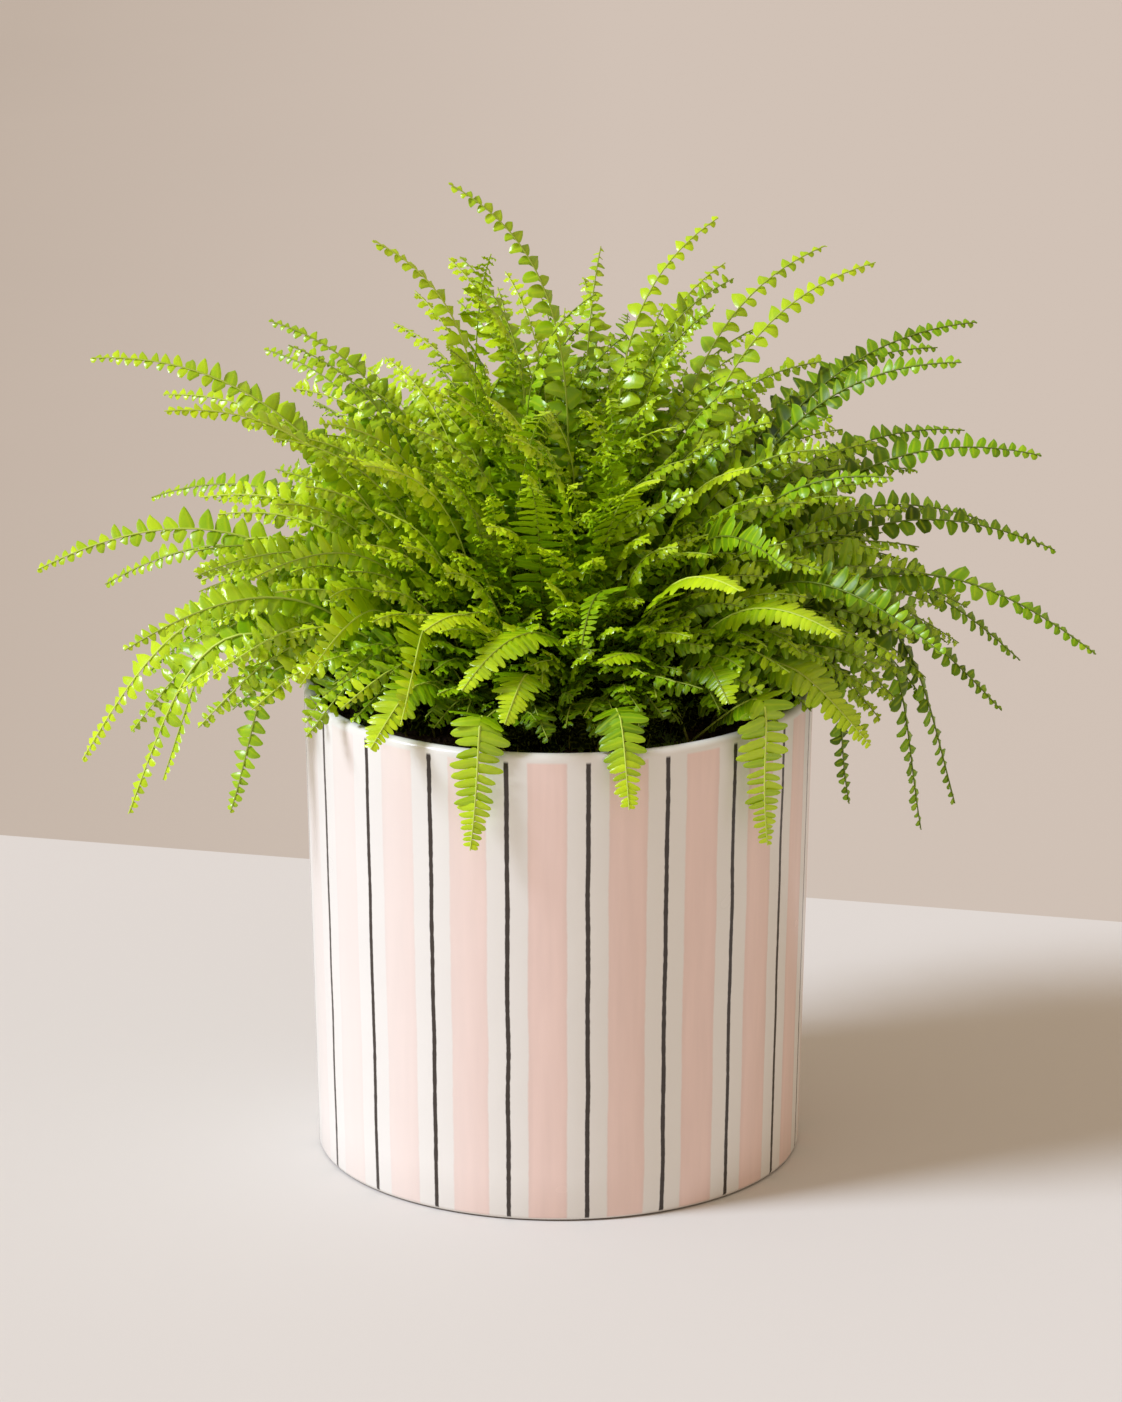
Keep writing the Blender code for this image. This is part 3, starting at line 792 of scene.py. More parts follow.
def moss_shape(name):
    """One moss shoot, a unit high: an upright tip with five pointed leaves whorled round it."""
    points, faces = [], []
    for i in range(MOSS_LEAVES + 1):
        turn = 2 * math.pi * i / (MOSS_LEAVES + 1) + MOSS_TURN_UNEVEN * (i % 2)
        reach, rise = (MOSS_REACH, MOSS_RISE + MOSS_RISE_STEP * (i % 3)) if i else (MOSS_TIP_REACH, 1.0)
        out = Vector((math.cos(turn), math.sin(turn), 0))
        wide = Vector((-out.y, out.x, 0)) * MOSS_HALF_WIDTH
        low = Vector((0, 0, MOSS_LEAF_STEP * i))
        first = len(points)
        back = low + Vector((0, 0, MOSS_LEAF_DEPTH)) - out * MOSS_LEAF_BACK
        points += [low + wide, low - wide, back, out * reach + Vector((0, 0, rise))]
        faces += [tuple(first + k for k in face) for face in ((0, 2, 3), (2, 1, 3), (0, 3, 1), (0, 1, 2))]
    return mesh_object(name, points, faces, smooth=False)


def scatter_tree():
    """Scatters the shapes of a collection over the upward faces of a mesh, and gives them one material."""
    tree, add, given, result = new_tree("scattered grains", [
        ("Grains", "Collection"), ("Density", "Float"), ("Grain size", "Float"), ("Bare share", "Float"),
        ("Patch scale", "Float"), ("Upright", "Float"), ("Seed", "Int"), ("Material", "Material")])
    rise = add("ShaderNodeSeparateXYZ", add("GeometryNodeInputNormal")).outputs["Z"]
    top = add("FunctionNodeCompare", rise, UPWARD, operation="GREATER_THAN")
    patches = add("ShaderNodeTexNoise", {
        "Vector": add("GeometryNodeInputPosition"), "Scale": given["Patch scale"], "Detail": 2.0})
    grown_over = add("FunctionNodeCompare", patches, given["Bare share"], operation="GREATER_THAN")
    chosen = add("FunctionNodeBooleanMath", top, grown_over, operation="AND")
    spread = add("GeometryNodeDistributePointsOnFaces", {
        "Mesh": given["Mesh"], "Selection": chosen, "Density": given["Density"], "Seed": given["Seed"]})
    shapes = add("GeometryNodeCollectionInfo", {
        "Collection": given["Grains"], "Separate Children": True, "Reset Children": True})
    size = add("FunctionNodeRandomValue", {
        "Min_001": GRAINS_VARY[0], "Max_001": GRAINS_VARY[1], "Seed": given["Seed"]}, data_type="FLOAT")
    size = add("ShaderNodeMath", size, given["Grain size"], operation="MULTIPLY")
    tilt = add("ShaderNodeMath", GRAIN_TILT, given["Upright"], operation="MULTIPLY")
    less = add("ShaderNodeMath", tilt, -1.0, operation="MULTIPLY")
    least = add("ShaderNodeCombineXYZ", less, less, 0.0)
    most = add("ShaderNodeCombineXYZ", tilt, tilt, 2 * math.pi)
    turn = add("FunctionNodeRandomValue", {"Min": least, "Max": most, "Seed": given["Seed"]},
               data_type="FLOAT_VECTOR")
    placed = add("GeometryNodeInstanceOnPoints", {
        "Points": spread.outputs["Points"], "Instance": shapes, "Pick Instance": True,
        "Rotation": add("FunctionNodeEulerToRotation", turn), "Scale": size})
    whole = add("GeometryNodeRealizeInstances", placed)
    whole = add("GeometryNodeSetMaterial", {"Geometry": whole, "Material": given["Material"]})
    tree.links.new(whole.outputs[0], result)
    return tree


def shape_collection(name, shapes):
    """A collection of shapes for a tree to place. remove_shapes deletes it when the tree has run."""
    made = bpy.data.collections.new(name)
    bpy.context.scene.collection.children.link(made)
    for shape in shapes:
        for linked in list(shape.users_collection):
            linked.objects.unlink(shape)
        made.objects.link(shape)
    return made


def remove_shapes(*collections):
    for collection in collections:
        for shape in list(collection.objects):
            bpy.data.objects.remove(shape, do_unlink=True)
        bpy.data.collections.remove(collection)


class FERN_OT_soil(bpy.types.Operator):
    """Makes the potting soil with its crumbs and its moss"""
    bl_idname = "fern.soil"
    bl_label = "Potting soil"

    def execute(self, context):
        settings = context.scene.fern_soil
        peat, moss = damp_peat(settings), living_moss(settings)
        soil = soil_shape()
        soil.data.materials.append(peat)
        tree = scatter_tree()
        lumps = [crumb_shape(f"crumb_{i}", squash) for i, squash in enumerate(CRUMB_SQUASHES)]
        grains = shape_collection("crumb shapes", lumps)
        shoots = shape_collection("moss shapes", [moss_shape("shoot")])
        crumbs = bpy.data.objects.new("peat_crumbs", soil.data.copy())
        cushions = bpy.data.objects.new("moss", soil.data.copy())
        for obj in (crumbs, cushions):
            context.scene.collection.objects.link(obj)
        grown(crumbs, tree, {
            "Grains": grains, "Density": settings.crumb_density, "Grain size": settings.crumb_size,
            "Bare share": 0.0, "Patch scale": 1.0, "Upright": 1.0, "Seed": settings.seed, "Material": peat})
        grown(cushions, tree, {
            "Grains": shoots, "Density": settings.moss_density, "Grain size": settings.moss_height,
            "Bare share": MOSS_BARE_SHARE, "Patch scale": MOSS_PATCHES_PER_METRE, "Upright": MOSS_TILT,
            "Seed": settings.seed + 1, "Material": moss})
        remove_shapes(grains, shoots)
        finished(soil, "peat", "soil")
        finished(crumbs, "peat")
        finished(cushions, "leaf")
        return {"FINISHED"}


# The fronds

LEAF_NAME = "living fern leaflet"
STALK_NAME = "living fern stalk"


class FernFrondSettings(bpy.types.PropertyGroup):
    seed: IntProperty(name="Seed", description="Changes how the leaflets vary", default=7)
    wave: FloatProperty(name="Wave", description="How far the leaflets wave", default=0.35 * MM,
                        unit="LENGTH")
    wave_length: FloatProperty(name="Wave length", description="How long a wave is", default=7 * MM,
                               unit="LENGTH")
    # The colour of painted shade, which leaflets deep in the plant, close over the soil and on its shaded
    # right side take
    shaded_leaf: FloatVectorProperty(name="Deep leaf", description="The colour of leaflets deep in the plant",
                                   default=linear("#2F3F02"), size=3, subtype="COLOR")
    old_leaf: FloatVectorProperty(name="Old leaf", description="The colour of the older leaflets",
                                  default=linear("#92C80A"), size=3, subtype="COLOR")
    young_leaf: FloatVectorProperty(name="Young leaf", description="The colour of the youngest leaflets",
                                    default=linear("#E2FA1E"), size=3, subtype="COLOR")
    see_through: FloatVectorProperty(name="Light through", description="The colour of light from behind",
                                     default=linear("#E4F40A"), size=3, subtype="COLOR")
    stalk: FloatVectorProperty(name="Stalk", description="The colour of a stalk at its foot",
                               default=linear("#6F5B22"), size=3, subtype="COLOR")
    # The colour of old ribs, and the painted shade of ribs on the plant's right side
    old_and_shaded_rib: FloatVectorProperty(name="Old rib", description="The colour of an old frond's rib",
                                 default=linear("#738A1E"), size=3, subtype="COLOR")
    rib: FloatVectorProperty(name="Rib", description="The colour of a young frond's rib",
                             default=linear("#CFE255"), size=3, subtype="COLOR")


class Spine:
    """The curve that a frond's rib follows, measured along its length, with the way that its blade faces."""

    SAMPLES = 40

    def __init__(self, foot, tip, roll, sway):
        chord = tip - foot
        self.heading = Vector((chord.x, chord.y, 0)).normalized()
        self.side = Vector((0, 0, 1)).cross(self.heading)
        self.roll = roll + ROLL_TO_FRONT * self.heading.x
        fall = math.acos(chord.normalized().z)
        lift = ARCH_LIFT * (fall / SPREAD_ANGLE) ** 2
        start = self.direction(LEAN_SHARE * fall) * (REACH_OUT * chord.length + lift)
        droop = self.direction(min(fall + DROOP_MORE, MOST_DROOP))
        end = droop * (REACH_BACK * chord.length + BACK_LIFT * lift)
        bend = self.side * sway * chord.length
        self.foot = foot
        self.tip = tip
        self.corners = [foot, foot + start + 0.5 * bend, tip - end + bend, tip]
        steps = [self.at_share(i / self.SAMPLES) for i in range(self.SAMPLES + 1)]
        self.lengths = [0.0]
        for before, after in zip(steps, steps[1:]):
            self.lengths.append(self.lengths[-1] + (after - before).length)
        self.length = self.lengths[-1]

    def direction(self, from_upright):
        return self.heading * math.sin(from_upright) + Vector((0, 0, math.cos(from_upright)))

    def at_share(self, t):
        a, b, c, d = self.corners
        u = 1 - t
        return u**3 * a + 3 * u * u * t * b + 3 * u * t * t * c + t**3 * d

    def share_of(self, distance):
        """The curve's own parameter at a distance along it."""
        distance = min(max(distance, 0.0), self.length)
        for i, (before, after) in enumerate(zip(self.lengths, self.lengths[1:])):
            if distance <= after:
                return (i + (distance - before) / (after - before)) / self.SAMPLES
        return 1.0

    def frame(self, distance):
        """The point, the way onward, the way to the left edge and the way that the blade faces."""
        t = self.share_of(distance)
        step = 0.5 / self.SAMPLES
        onward = (self.at_share(min(t + step, 1)) - self.at_share(max(t - step, 0))).normalized()
        facing = self.side.cross(onward).normalized() * -1
        turn = Matrix.Rotation(self.roll * min(distance / (FULL_WIDTH_AT * self.length), 1), 3, onward)
        facing = turn @ facing
        return self.at_share(t), onward, facing.cross(onward), facing


def foot_of(tip, moved):
    """Where a frond with this tip leaves the soil: the lower the tip, the further out its foot."""
    low = Vector((0, 0, soil_top(0)))
    fall = math.acos((tip - low).normalized().z)
    radius = CROWN_RADIUS + CROWN_SPREAD * min(fall / SPREAD_ANGLE, 1)
    heading = math.atan2(tip.y, tip.x)
    across, back = moved[0] * MM, moved[1] * MM
    foot = Vector((radius * math.cos(heading) + across, radius * math.sin(heading) + back, 0))
    foot.z = soil_top(foot.length)
    return foot


def half_width(share, length):
    """How far the leaflets reach from the rib, at a share of the leafy length."""
    full = BLADE_HALF_WIDTH + BLADE_WIDTH_PER_LENGTH * length
    grow = math.sin(0.5 * math.pi * min(share / FULL_WIDTH_AT, 1))
    past = max(share - FULL_WIDTH_AT, 0) / (1 - FULL_WIDTH_AT)
    taper = 1 - (1 - TIP_WIDTH_SHARE) * past**TAPER_POWER
    return full * (FIRST_WIDTH_SHARE + (1 - FIRST_WIDTH_SHARE) * grow) * taper


class Sheet:
    """The solid frond as a sheet of triangles, from which the room that each side frond has is found
    again. Its first points are those of the bare stalk."""

    BARE_POINTS = 4

    def __init__(self, spine, width, foot_depth, pitch):
        self.spine = spine
        self.width = width
        self.points, self.thicknesses, self.facings, self.faces = [], [], [], []
        self.start = BARE_STALK * min(1, spine.length / WHOLE_STALK_AT)
        self.pairs = max(FEWEST_PAIRS, round((spine.length - self.start) / pitch))
        last_left, last_right = self.add_rib(-foot_depth, 1), self.add_rib(-foot_depth, -1)
        for distance in [STALK_BEND, self.station(0)]:
            left = self.add_rib(distance, 1)
            right = self.add_rib(distance + self.half_step(0) * (distance > STALK_BEND), -1)
            self.faces += [(last_left, last_right, left), (last_right, right, left)]
            last_left, last_right = left, right
        for i in range(1, self.pairs + 1):
            left = self.add_rib(self.station(i), 1)
            self.faces.append((last_left, last_right, left))
            self.add_leaflet(last_left, left, self.station(i) - self.half_step(i - 1), 1)
            right = self.add_rib(self.station(i) + self.half_step(i), -1)
            self.faces.append((last_right, right, left))
            if i < self.pairs:
                self.add_leaflet(last_right, right, self.station(i), -1)
            last_left, last_right = left, right

    def station(self, i):
        """How far along the spine the i-th leaflet on the left begins. They stand closer towards the tip."""
        share = i / self.pairs
        closer = TIP_CLOSER * share
        return self.start + (self.spine.length - self.start) * share * (1 + TIP_CLOSER - closer)

    def half_step(self, i):
        return 0.5 * (self.station(i + 1) - self.station(i)) if i < self.pairs else 0.0

    def add(self, point, thickness, facing):
        self.points.append(point)
        self.thicknesses.append(thickness)
        self.facings.append(facing)
        return len(self.points) - 1

    def width_at(self, distance):
        return self.width + (RIB_TIP_WIDTH - self.width) * max(distance, 0) / self.spine.length

    def add_rib(self, distance, sign):
        """A point at the rib's edge. A distance below zero is in the soil, straight below the foot."""
        point, _, left, facing = self.spine.frame(distance)
        if distance < 0:
            point, left = point + Vector((0, 0, distance)), self.spine.side
        wide = self.width_at(distance)
        return self.add(point + left * (0.5 * sign * wide), wide, facing)

    def add_leaflet(self, near, far, distance, sign):
        share = (distance - self.start) / (self.spine.length - self.start)
        reach = half_width(share, self.spine.length)
        point, onward, left, facing = self.spine.frame(distance)
        out = left * sign + onward * LEAFLET_FORWARD - facing * LEAFLET_HANG
        tip = self.add(point + out * reach, LEAFLET_EDGE, facing)
        self.faces.append((near, far, tip) if sign > 0 else (far, near, tip))


def tree_of(sheets, beyond=0.0):
    """The middle and both faces of these sheets, as one tree in which distances and crossings are found."""
    points, faces = [], []
    for sheet in sheets:
        kept = [face for face in sheet.faces
                if min((sheet.points[i] - sheet.spine.foot).length for i in face) >= beyond]
        for layer in (-1, 0, 1):
            first = len(points)
            points += [point + facing * layer * (0.5 * thickness + SHEET_MARGIN)
                       for point, thickness, facing in zip(sheet.points, sheet.thicknesses, sheet.facings)]
            faces += [[first + i for i in face] for face in kept]
    return BVHTree.FromPolygons(points, faces)


def clears_pot(sheet):
    """Whether the leafy part keeps off the soil and the pot's rim."""
    inside = RIM_RADIUS - WALL - POT_MARGIN
    outside = RIM_RADIUS + POT_MARGIN
    for point in sheet.points[Sheet.BARE_POINTS:]:
        radius = math.hypot(point.x, point.y)
        floor = soil_top(radius) if radius < inside else POT_HEIGHT if radius < outside else 0.0
        if point.z < floor + POT_MARGIN:
            return False
    return True


def side_tip(tip, turn, fall, length):
    """The tip of a frond, swung about the crown by degrees to the side and down, and nearer to the crown."""
    low = Vector((0, 0, soil_top(0)))
    out = tip - low
    level = Vector((0, 0, 1)).cross(out).normalized()
    out = Matrix.Rotation(math.radians(fall), 3, level) @ out
    return low + Matrix.Rotation(math.radians(turn), 3, "Z") @ out * length


def side_spines(spine):
    """The ways in which a side frond could grow from this frond's stalk."""
    root = spine.frame(SIDE_FROM)[0]
    for turn in SIDE_TURNS:
        for fall in SIDE_FALLS:
            for length in SIDE_LENGTHS:
                tip = side_tip(spine.tip, turn, fall, length)
                if tip.z > POT_HEIGHT + SIDE_OVER_RIM:
                    yield Spine(root, tip, spine.roll, math.copysign(SWAY, turn))


def room_round(spine, tree):
    """The least distance from a spine's leafy part to what else there is."""
    return min(tree.find_nearest(spine.at_share(stop))[3] for stop in ROOM_STOPS)


def side_sheet(own, others, least_room):
    """Of the ways in which a side frond could grow, the one with the most room that crosses nothing."""
    own_tree, tree = tree_of(own), tree_of(others)
    ways = []
    for i, way in enumerate(side_spines(own[0].spine)):
        room = min(room_round(way, tree), OWN_ROOM * room_round(way, own_tree))
        ways.append((round(room, ROOM_DECIMALS), -i, way))
    for room, _, way in sorted(ways, reverse=True, key=lambda found: found[:2]):
        if room < least_room:
            return None
        side = Sheet(way, SIDE_STALK_WIDTH, 0.0, SIDE_LEAFLET_PITCH)
        clear = clears_pot(side) and not tree.overlap(tree_of([side]))
        if clear and not own_tree.overlap(tree_of([side], SIDE_APART)):
            return side
    return None


def frond_sheets():
    """For each frond, by name, its own sheet and those of the side fronds that it has room for."""
    draw = random.Random(SEED)
    own = {}
    for side, tips in FROND_TIPS.items():
        for number, tip in enumerate(tips, 1):
            name = f"frond_{side}_{number:02d}"
            tip = Vector(tip) * MM
            roll = draw.uniform(-ROLL_VARIES, ROLL_VARIES)
            spine = Spine(foot_of(tip, MOVED_FEET.get(name, (0, 0))), tip, roll, draw.uniform(-SWAY, SWAY))
            own[name] = Sheet(spine, STALK_WIDTH, HOLE_DEPTH - SEAT_GAP, LEAFLET_PITCH)
    fronds = {name: [sheet] for name, sheet in own.items()}
    for least_room in SIDE_ROOMS:
        for name, sheets in fronds.items():
            others = [sheet for other in fronds for sheet in fronds[other] if other != name]
            side = side_sheet(sheets, others, least_room)
            if side:
                sheets.append(side)
    return fronds

def closer(share):
    """How close leaflets stand at a share of the leafy length, as a share of their usual spacing."""
    past = max(share - PITCH_TAPER_FROM, 0) / (1 - PITCH_TAPER_FROM)
    return 1 - (1 - TIP_PITCH_SHARE) * past


class Guide:
    """The line that a frond grows along: one point for each leaflet, with what Geometry Nodes need to know
    there."""

    VECTORS = ("onward", "left", "facing")
    NUMBERS = ("side", "reach", "breadth", "thick", "along", "hang", "skyward", "turn", "frond_tone")
    KEPT = ("along", "frond_tone")

    def __init__(self):
        self.points, self.edges = [], []
        self.values = {name: [] for name in self.VECTORS + self.NUMBERS}

    def add(self, point, joined, **values):
        if joined:
            self.edges.append((len(self.points) - 1, len(self.points)))
        self.points.append(point)
        for name, value in values.items():
            self.values[name].append(value)

    def follow(self, sheet, way, tone, in_soil):
        """Adds the whole of one frond, foot first."""
        spine = sheet.spine
        pitch = way.pitch * (1 + PITCH_PER_LENGTH * min(spine.length - USUAL_LENGTH, 0))
        leafy = spine.length - sheet.start
        stops = [(-STALK_IN_SOIL, 0)] * in_soil
        stops += [(sheet.start * i / BARE_STOPS, 0) for i in range(BARE_STOPS)]
        distance, side = sheet.start, 1
        while distance < spine.length - RIB_TIP_WIDTH:
            stops.append((distance, side))
            distance += 0.5 * pitch * closer((distance - sheet.start) / leafy)
            side = -side
        stops.append((spine.length, 0))
        for i, (distance, side) in enumerate(stops):
            point, onward, left, facing = spine.frame(distance)
            point = point + Vector((0, 0, min(distance, 0)))
            share = max(distance - sheet.start, 0) / leafy
            # The leaflets on the blade's upper edge are longer than those on its lower edge.
            uneven = 1 + UPPER_LONGER * side * left.z
            reach = way.length * half_width(share**LATER_TAPER, spine.length) * uneven
            breadth = way.fullness * pitch * closer(share) * (1 - (1 - TIP_BREADTH_SHARE) * share)
            self.add(point, i > 0, onward=onward, left=left, facing=facing, side=side, reach=reach,
                     breadth=breadth, thick=0.5 * RIB_FINER * sheet.width_at(distance),
                     along=max(distance, 0) / spine.length, hang=way.hang, skyward=way.skyward, turn=way.turn,
                     frond_tone=tone)

    def as_object(self, name):
        obj = mesh_object(name, self.points, [], self.edges)
        for key in self.VECTORS:
            store(obj.data, key, [c for value in self.values[key] for c in value], "FLOAT_VECTOR")
        for key in self.NUMBERS:
            store(obj.data, key, self.values[key])
        return obj


def strip(near, far, points):
    """The triangles between two chains of points that share both their ends, each chain in order along X."""
    faces, i, j = [], 0, 1
    while i < len(near) - 1 or j < len(far) - 1:
        on_near = j == len(far) - 1 or (i < len(near) - 1 and points[near[i + 1]][0] <= points[far[j + 1]][0])
        face = (near[i], near[i + 1], far[j]) if on_near else (near[i], far[j + 1], far[j])
        i, j = (i + 1, j) if on_near else (i, j + 1)
        if len(set(face)) == 3:
            faces.append(face)
    return faces


def leaflet_shape(name, outline, detail, side):
    """One leaflet, a unit long and a unit broad, out along +X: a thin closed blade with a groove along its
    middle and a scalloped, waving margin. It spreads most to the frond's tip, which is -Y on the left side
    and +Y on the right."""
    points, across, margin = [], [], []

    def add_point(x, y, from_middle, lift=0.0):
        blade = LEAFLET_BOW * x * x - detail.hang * from_middle * from_middle + detail.shingle * side * y
        points.append((x, y, blade + lift))
        across.append(x)
        margin.append(from_middle)
        return len(points) - 1

    foot, tip = add_point(0.0, 0.0, 0.0), add_point(1.0, 0.0, TIP_FROM_MIDDLE)
    vein, below = [
        [foot] + [add_point(x, 0.0, 0.0, -depth) for x in stops] + [tip]
        for stops, depth in ((detail.veins, MIDRIB_GROOVE), (detail.under, UNDERSIDE_DEPTH))]
    faces, edges = [], set()
    for way in (1, -1):
        spread = [(outline[i][0], outline[i][1 if way > 0 else 2] * way * -side) for i in detail.rows]
        waves = [detail.wave * (1 if i % 2 else -1) * way for i in range(len(spread))]
        chain = [foot] + [add_point(x, y, 1.0, wave) for (x, y), wave in zip(spread, waves)] + [tip]
        edges |= {frozenset(pair) for pair in zip(chain, chain[1:])}
        top = strip(chain, vein, points)
        if detail.rounded:
            half = [add_point(x, 0.5 * y, 0.5) for x, y in spread[1:-1:2] + spread[-1:]]
            half = [foot] + half + [tip]
            top = strip(chain, half, points) + strip(half, vein, points)
        low = [face[::-1] for face in strip(chain, below, points)]
        faces += [face if way == side else face[::-1] for face in top + low]
    leaflet = mesh_object(name, points, faces)
    is_sharp = [frozenset(edge.vertices) in edges for edge in leaflet.data.edges]
    store(leaflet.data, "sharp_edge", is_sharp, "BOOLEAN", "EDGE")
    store(leaflet.data, "across", across)
    store(leaflet.data, "margin", margin)
    return leaflet


def leaflet_stance(add, given, number, vector):
    """How a leaflet is turned: it points out from the rib, a little onward and below the blade, faces
    between the blade and the sky, and stands a little out of line."""
    outward = add("ShaderNodeVectorMath", vector["left"], number["side"], operation="SCALE")
    onward = add("ShaderNodeVectorMath", vector["onward"], LEAFLET_FORWARD, operation="SCALE")
    hang = add("ShaderNodeVectorMath", vector["facing"], number["hang"], operation="SCALE")
    outward = add("ShaderNodeVectorMath", outward, onward, operation="ADD")
    outward = add("ShaderNodeVectorMath", outward, hang, operation="SUBTRACT")
    face = add("ShaderNodeMix", number["skyward"], vector["facing"], (0.0, 0.0, 1.0), data_type="VECTOR")
    stance = add("FunctionNodeAxesToRotation", outward, face, primary_axis="X", secondary_axis="Z")
    turn = number["turn"]
    less = add("ShaderNodeMath", turn, -1.0, operation="MULTIPLY")
    own_turn = add("FunctionNodeRandomValue", {
        "Min": add("ShaderNodeCombineXYZ", less, less, less),
        "Max": add("ShaderNodeCombineXYZ", turn, turn, turn),
        "Seed": given["Seed"]}, data_type="FLOAT_VECTOR")
    return add("FunctionNodeRotateRotation", {
        "Rotation": stance, "Rotate By": add("FunctionNodeEulerToRotation", own_turn)},
        rotation_space="LOCAL")


def waving_offset(add, given):
    """How far the noise moves a point of a leaflet: not at all at the rib, and most at the leaflet's tip."""
    finer = add("ShaderNodeMath", 1.0, given["Wave length"], operation="DIVIDE")
    waves = add("ShaderNodeTexNoise", {
        "Vector": add("GeometryNodeInputPosition"), "Scale": finer, "Detail": 1.0})
    offset = add("ShaderNodeVectorMath", waves.outputs["Color"], (0.5, 0.5, 0.5), operation="SUBTRACT")
    reach = add("ShaderNodeMath", given["Wave"], NOISE_SPAN, operation="MULTIPLY")
    for share in (reach, add("GeometryNodeInputNamedAttribute", "across")):
        offset = add("ShaderNodeVectorMath", offset, share, operation="SCALE")
    return offset


def frond_tree():
    """Grows a frond on its guide: a tapering rib along the line, and a leaflet at each point, turned, sized
    and waved."""
    tree, add, given, result = new_tree("leafy frond", [
        ("Left leaflets", "Collection"), ("Right leaflets", "Collection"), ("Wave", "Float"),
        ("Wave length", "Float"), ("Seed", "Int"), ("Leaf", "Material"), ("Rib", "Material")])
    number = {key: add("GeometryNodeInputNamedAttribute", key) for key in Guide.NUMBERS}
    vector = {key: add("GeometryNodeInputNamedAttribute", key, data_type="FLOAT_VECTOR")
              for key in Guide.VECTORS}
    line = add("GeometryNodeMeshToCurve", given["Mesh"])
    line = add("GeometryNodeResampleCurve", {"Curve": line, "Length": RIB_STEP}, mode="LENGTH")
    ring = add("GeometryNodeCurvePrimitiveCircle", {"Resolution": RIB_SIDES, "Radius": 1.0})
    rib = add("GeometryNodeCurveToMesh", {
        "Curve": line, "Profile Curve": ring, "Scale": number["thick"], "Fill Caps": True})
    rib = add("GeometryNodeStoreNamedAttribute", {"Geometry": rib, "Name": "is_rib", "Value": 1.0})

    stance = leaflet_stance(add, given, number, vector)
    vary = add("FunctionNodeRandomValue", {
        "Min_001": LEAFLETS_VARY[0], "Max_001": LEAFLETS_VARY[1], "Seed": given["Seed"]}, data_type="FLOAT")
    size = add("ShaderNodeCombineXYZ", number["reach"], number["breadth"], number["breadth"])
    size = add("ShaderNodeVectorMath", size, vary, operation="SCALE")
    leaflets = []
    for key, limit, operation in (
            ("Left leaflets", 0.5, "GREATER_THAN"), ("Right leaflets", -0.5, "LESS_THAN")):
        here = add("FunctionNodeCompare", number["side"], limit, operation=operation)
        shapes = add("GeometryNodeCollectionInfo", {
            "Collection": given[key], "Separate Children": True, "Reset Children": True})
        pick = add("FunctionNodeRandomValue", {
            "Min_002": 0, "Max_002": len(SHORT_OUTLINES) - 1, "Seed": given["Seed"]}, data_type="INT")
        placed = add("GeometryNodeInstanceOnPoints", {
            "Points": given["Mesh"], "Selection": here, "Instance": shapes, "Pick Instance": True,
            "Instance Index": pick, "Rotation": stance, "Scale": size})
        tone = add("FunctionNodeRandomValue", {"Seed": given["Seed"]}, data_type="FLOAT")
        leaflets.append(add("GeometryNodeStoreNamedAttribute", {
            "Geometry": placed, "Name": "leaflet_tone", "Value": tone}, domain="INSTANCE"))
    joined = add("GeometryNodeJoinGeometry", [rib, *leaflets])
    whole = add("GeometryNodeRealizeInstances", joined)
    whole = add("GeometryNodeSetPosition", {"Geometry": whole, "Offset": waving_offset(add, given)})
    whole = add("GeometryNodeSetMaterial", {"Geometry": whole, "Material": given["Leaf"]})
    is_rib = add("GeometryNodeInputNamedAttribute", "is_rib")
    whole = add("GeometryNodeSetMaterial", {"Geometry": whole, "Selection": is_rib, "Material": given["Rib"]})
    tree.links.new(whole.outputs[0], result)
    return tree


def open_to_light(add, place, along):
    """How open to the light a leaflet stands, which darkens its colour as painted shade: least deep in the
    plant, low on a frond and close over the soil."""
    outward = add("ShaderNodeVectorMath", place, (0.0, 0.0, soil_top(0)), operation="SUBTRACT")
    reach = (YOUNG_REACH["across"], YOUNG_REACH["back"], YOUNG_REACH["up"])
    outward = add("ShaderNodeVectorMath", outward, reach, operation="DIVIDE")
    outward = add("ShaderNodeVectorMath", outward, operation="LENGTH")
    outward = add("ShaderNodeMapRange", {"Value": outward, "From Min": 0.10, "From Max": 0.53})
    higher = add("ShaderNodeMapRange", {"Value": along, "From Min": 0.08, "From Max": 0.50, "To Min": 0.40})
    up = add("ShaderNodeSeparateXYZ", place).outputs["Z"]
    level = add("ShaderNodeVectorMath", place, (1.0, 1.0, 0.0), operation="MULTIPLY")
    radius = add("ShaderNodeVectorMath", level, operation="LENGTH")
    over_soil = add("ShaderNodeMapRange", {
        "Value": up, "From Min": POT_HEIGHT, "From Max": POT_HEIGHT + 0.05, "To Min": 0.25})
    over_rim = add("ShaderNodeMapRange", {
        "Value": radius, "From Min": 0.85 * RIM_RADIUS, "From Max": 1.05 * RIM_RADIUS})
    sheltered = add("ShaderNodeMath", over_soil, over_rim, operation="MAXIMUM")
    for share in (higher, sheltered):
        outward = add("ShaderNodeMath", outward, share, operation="MULTIPLY")
    return outward


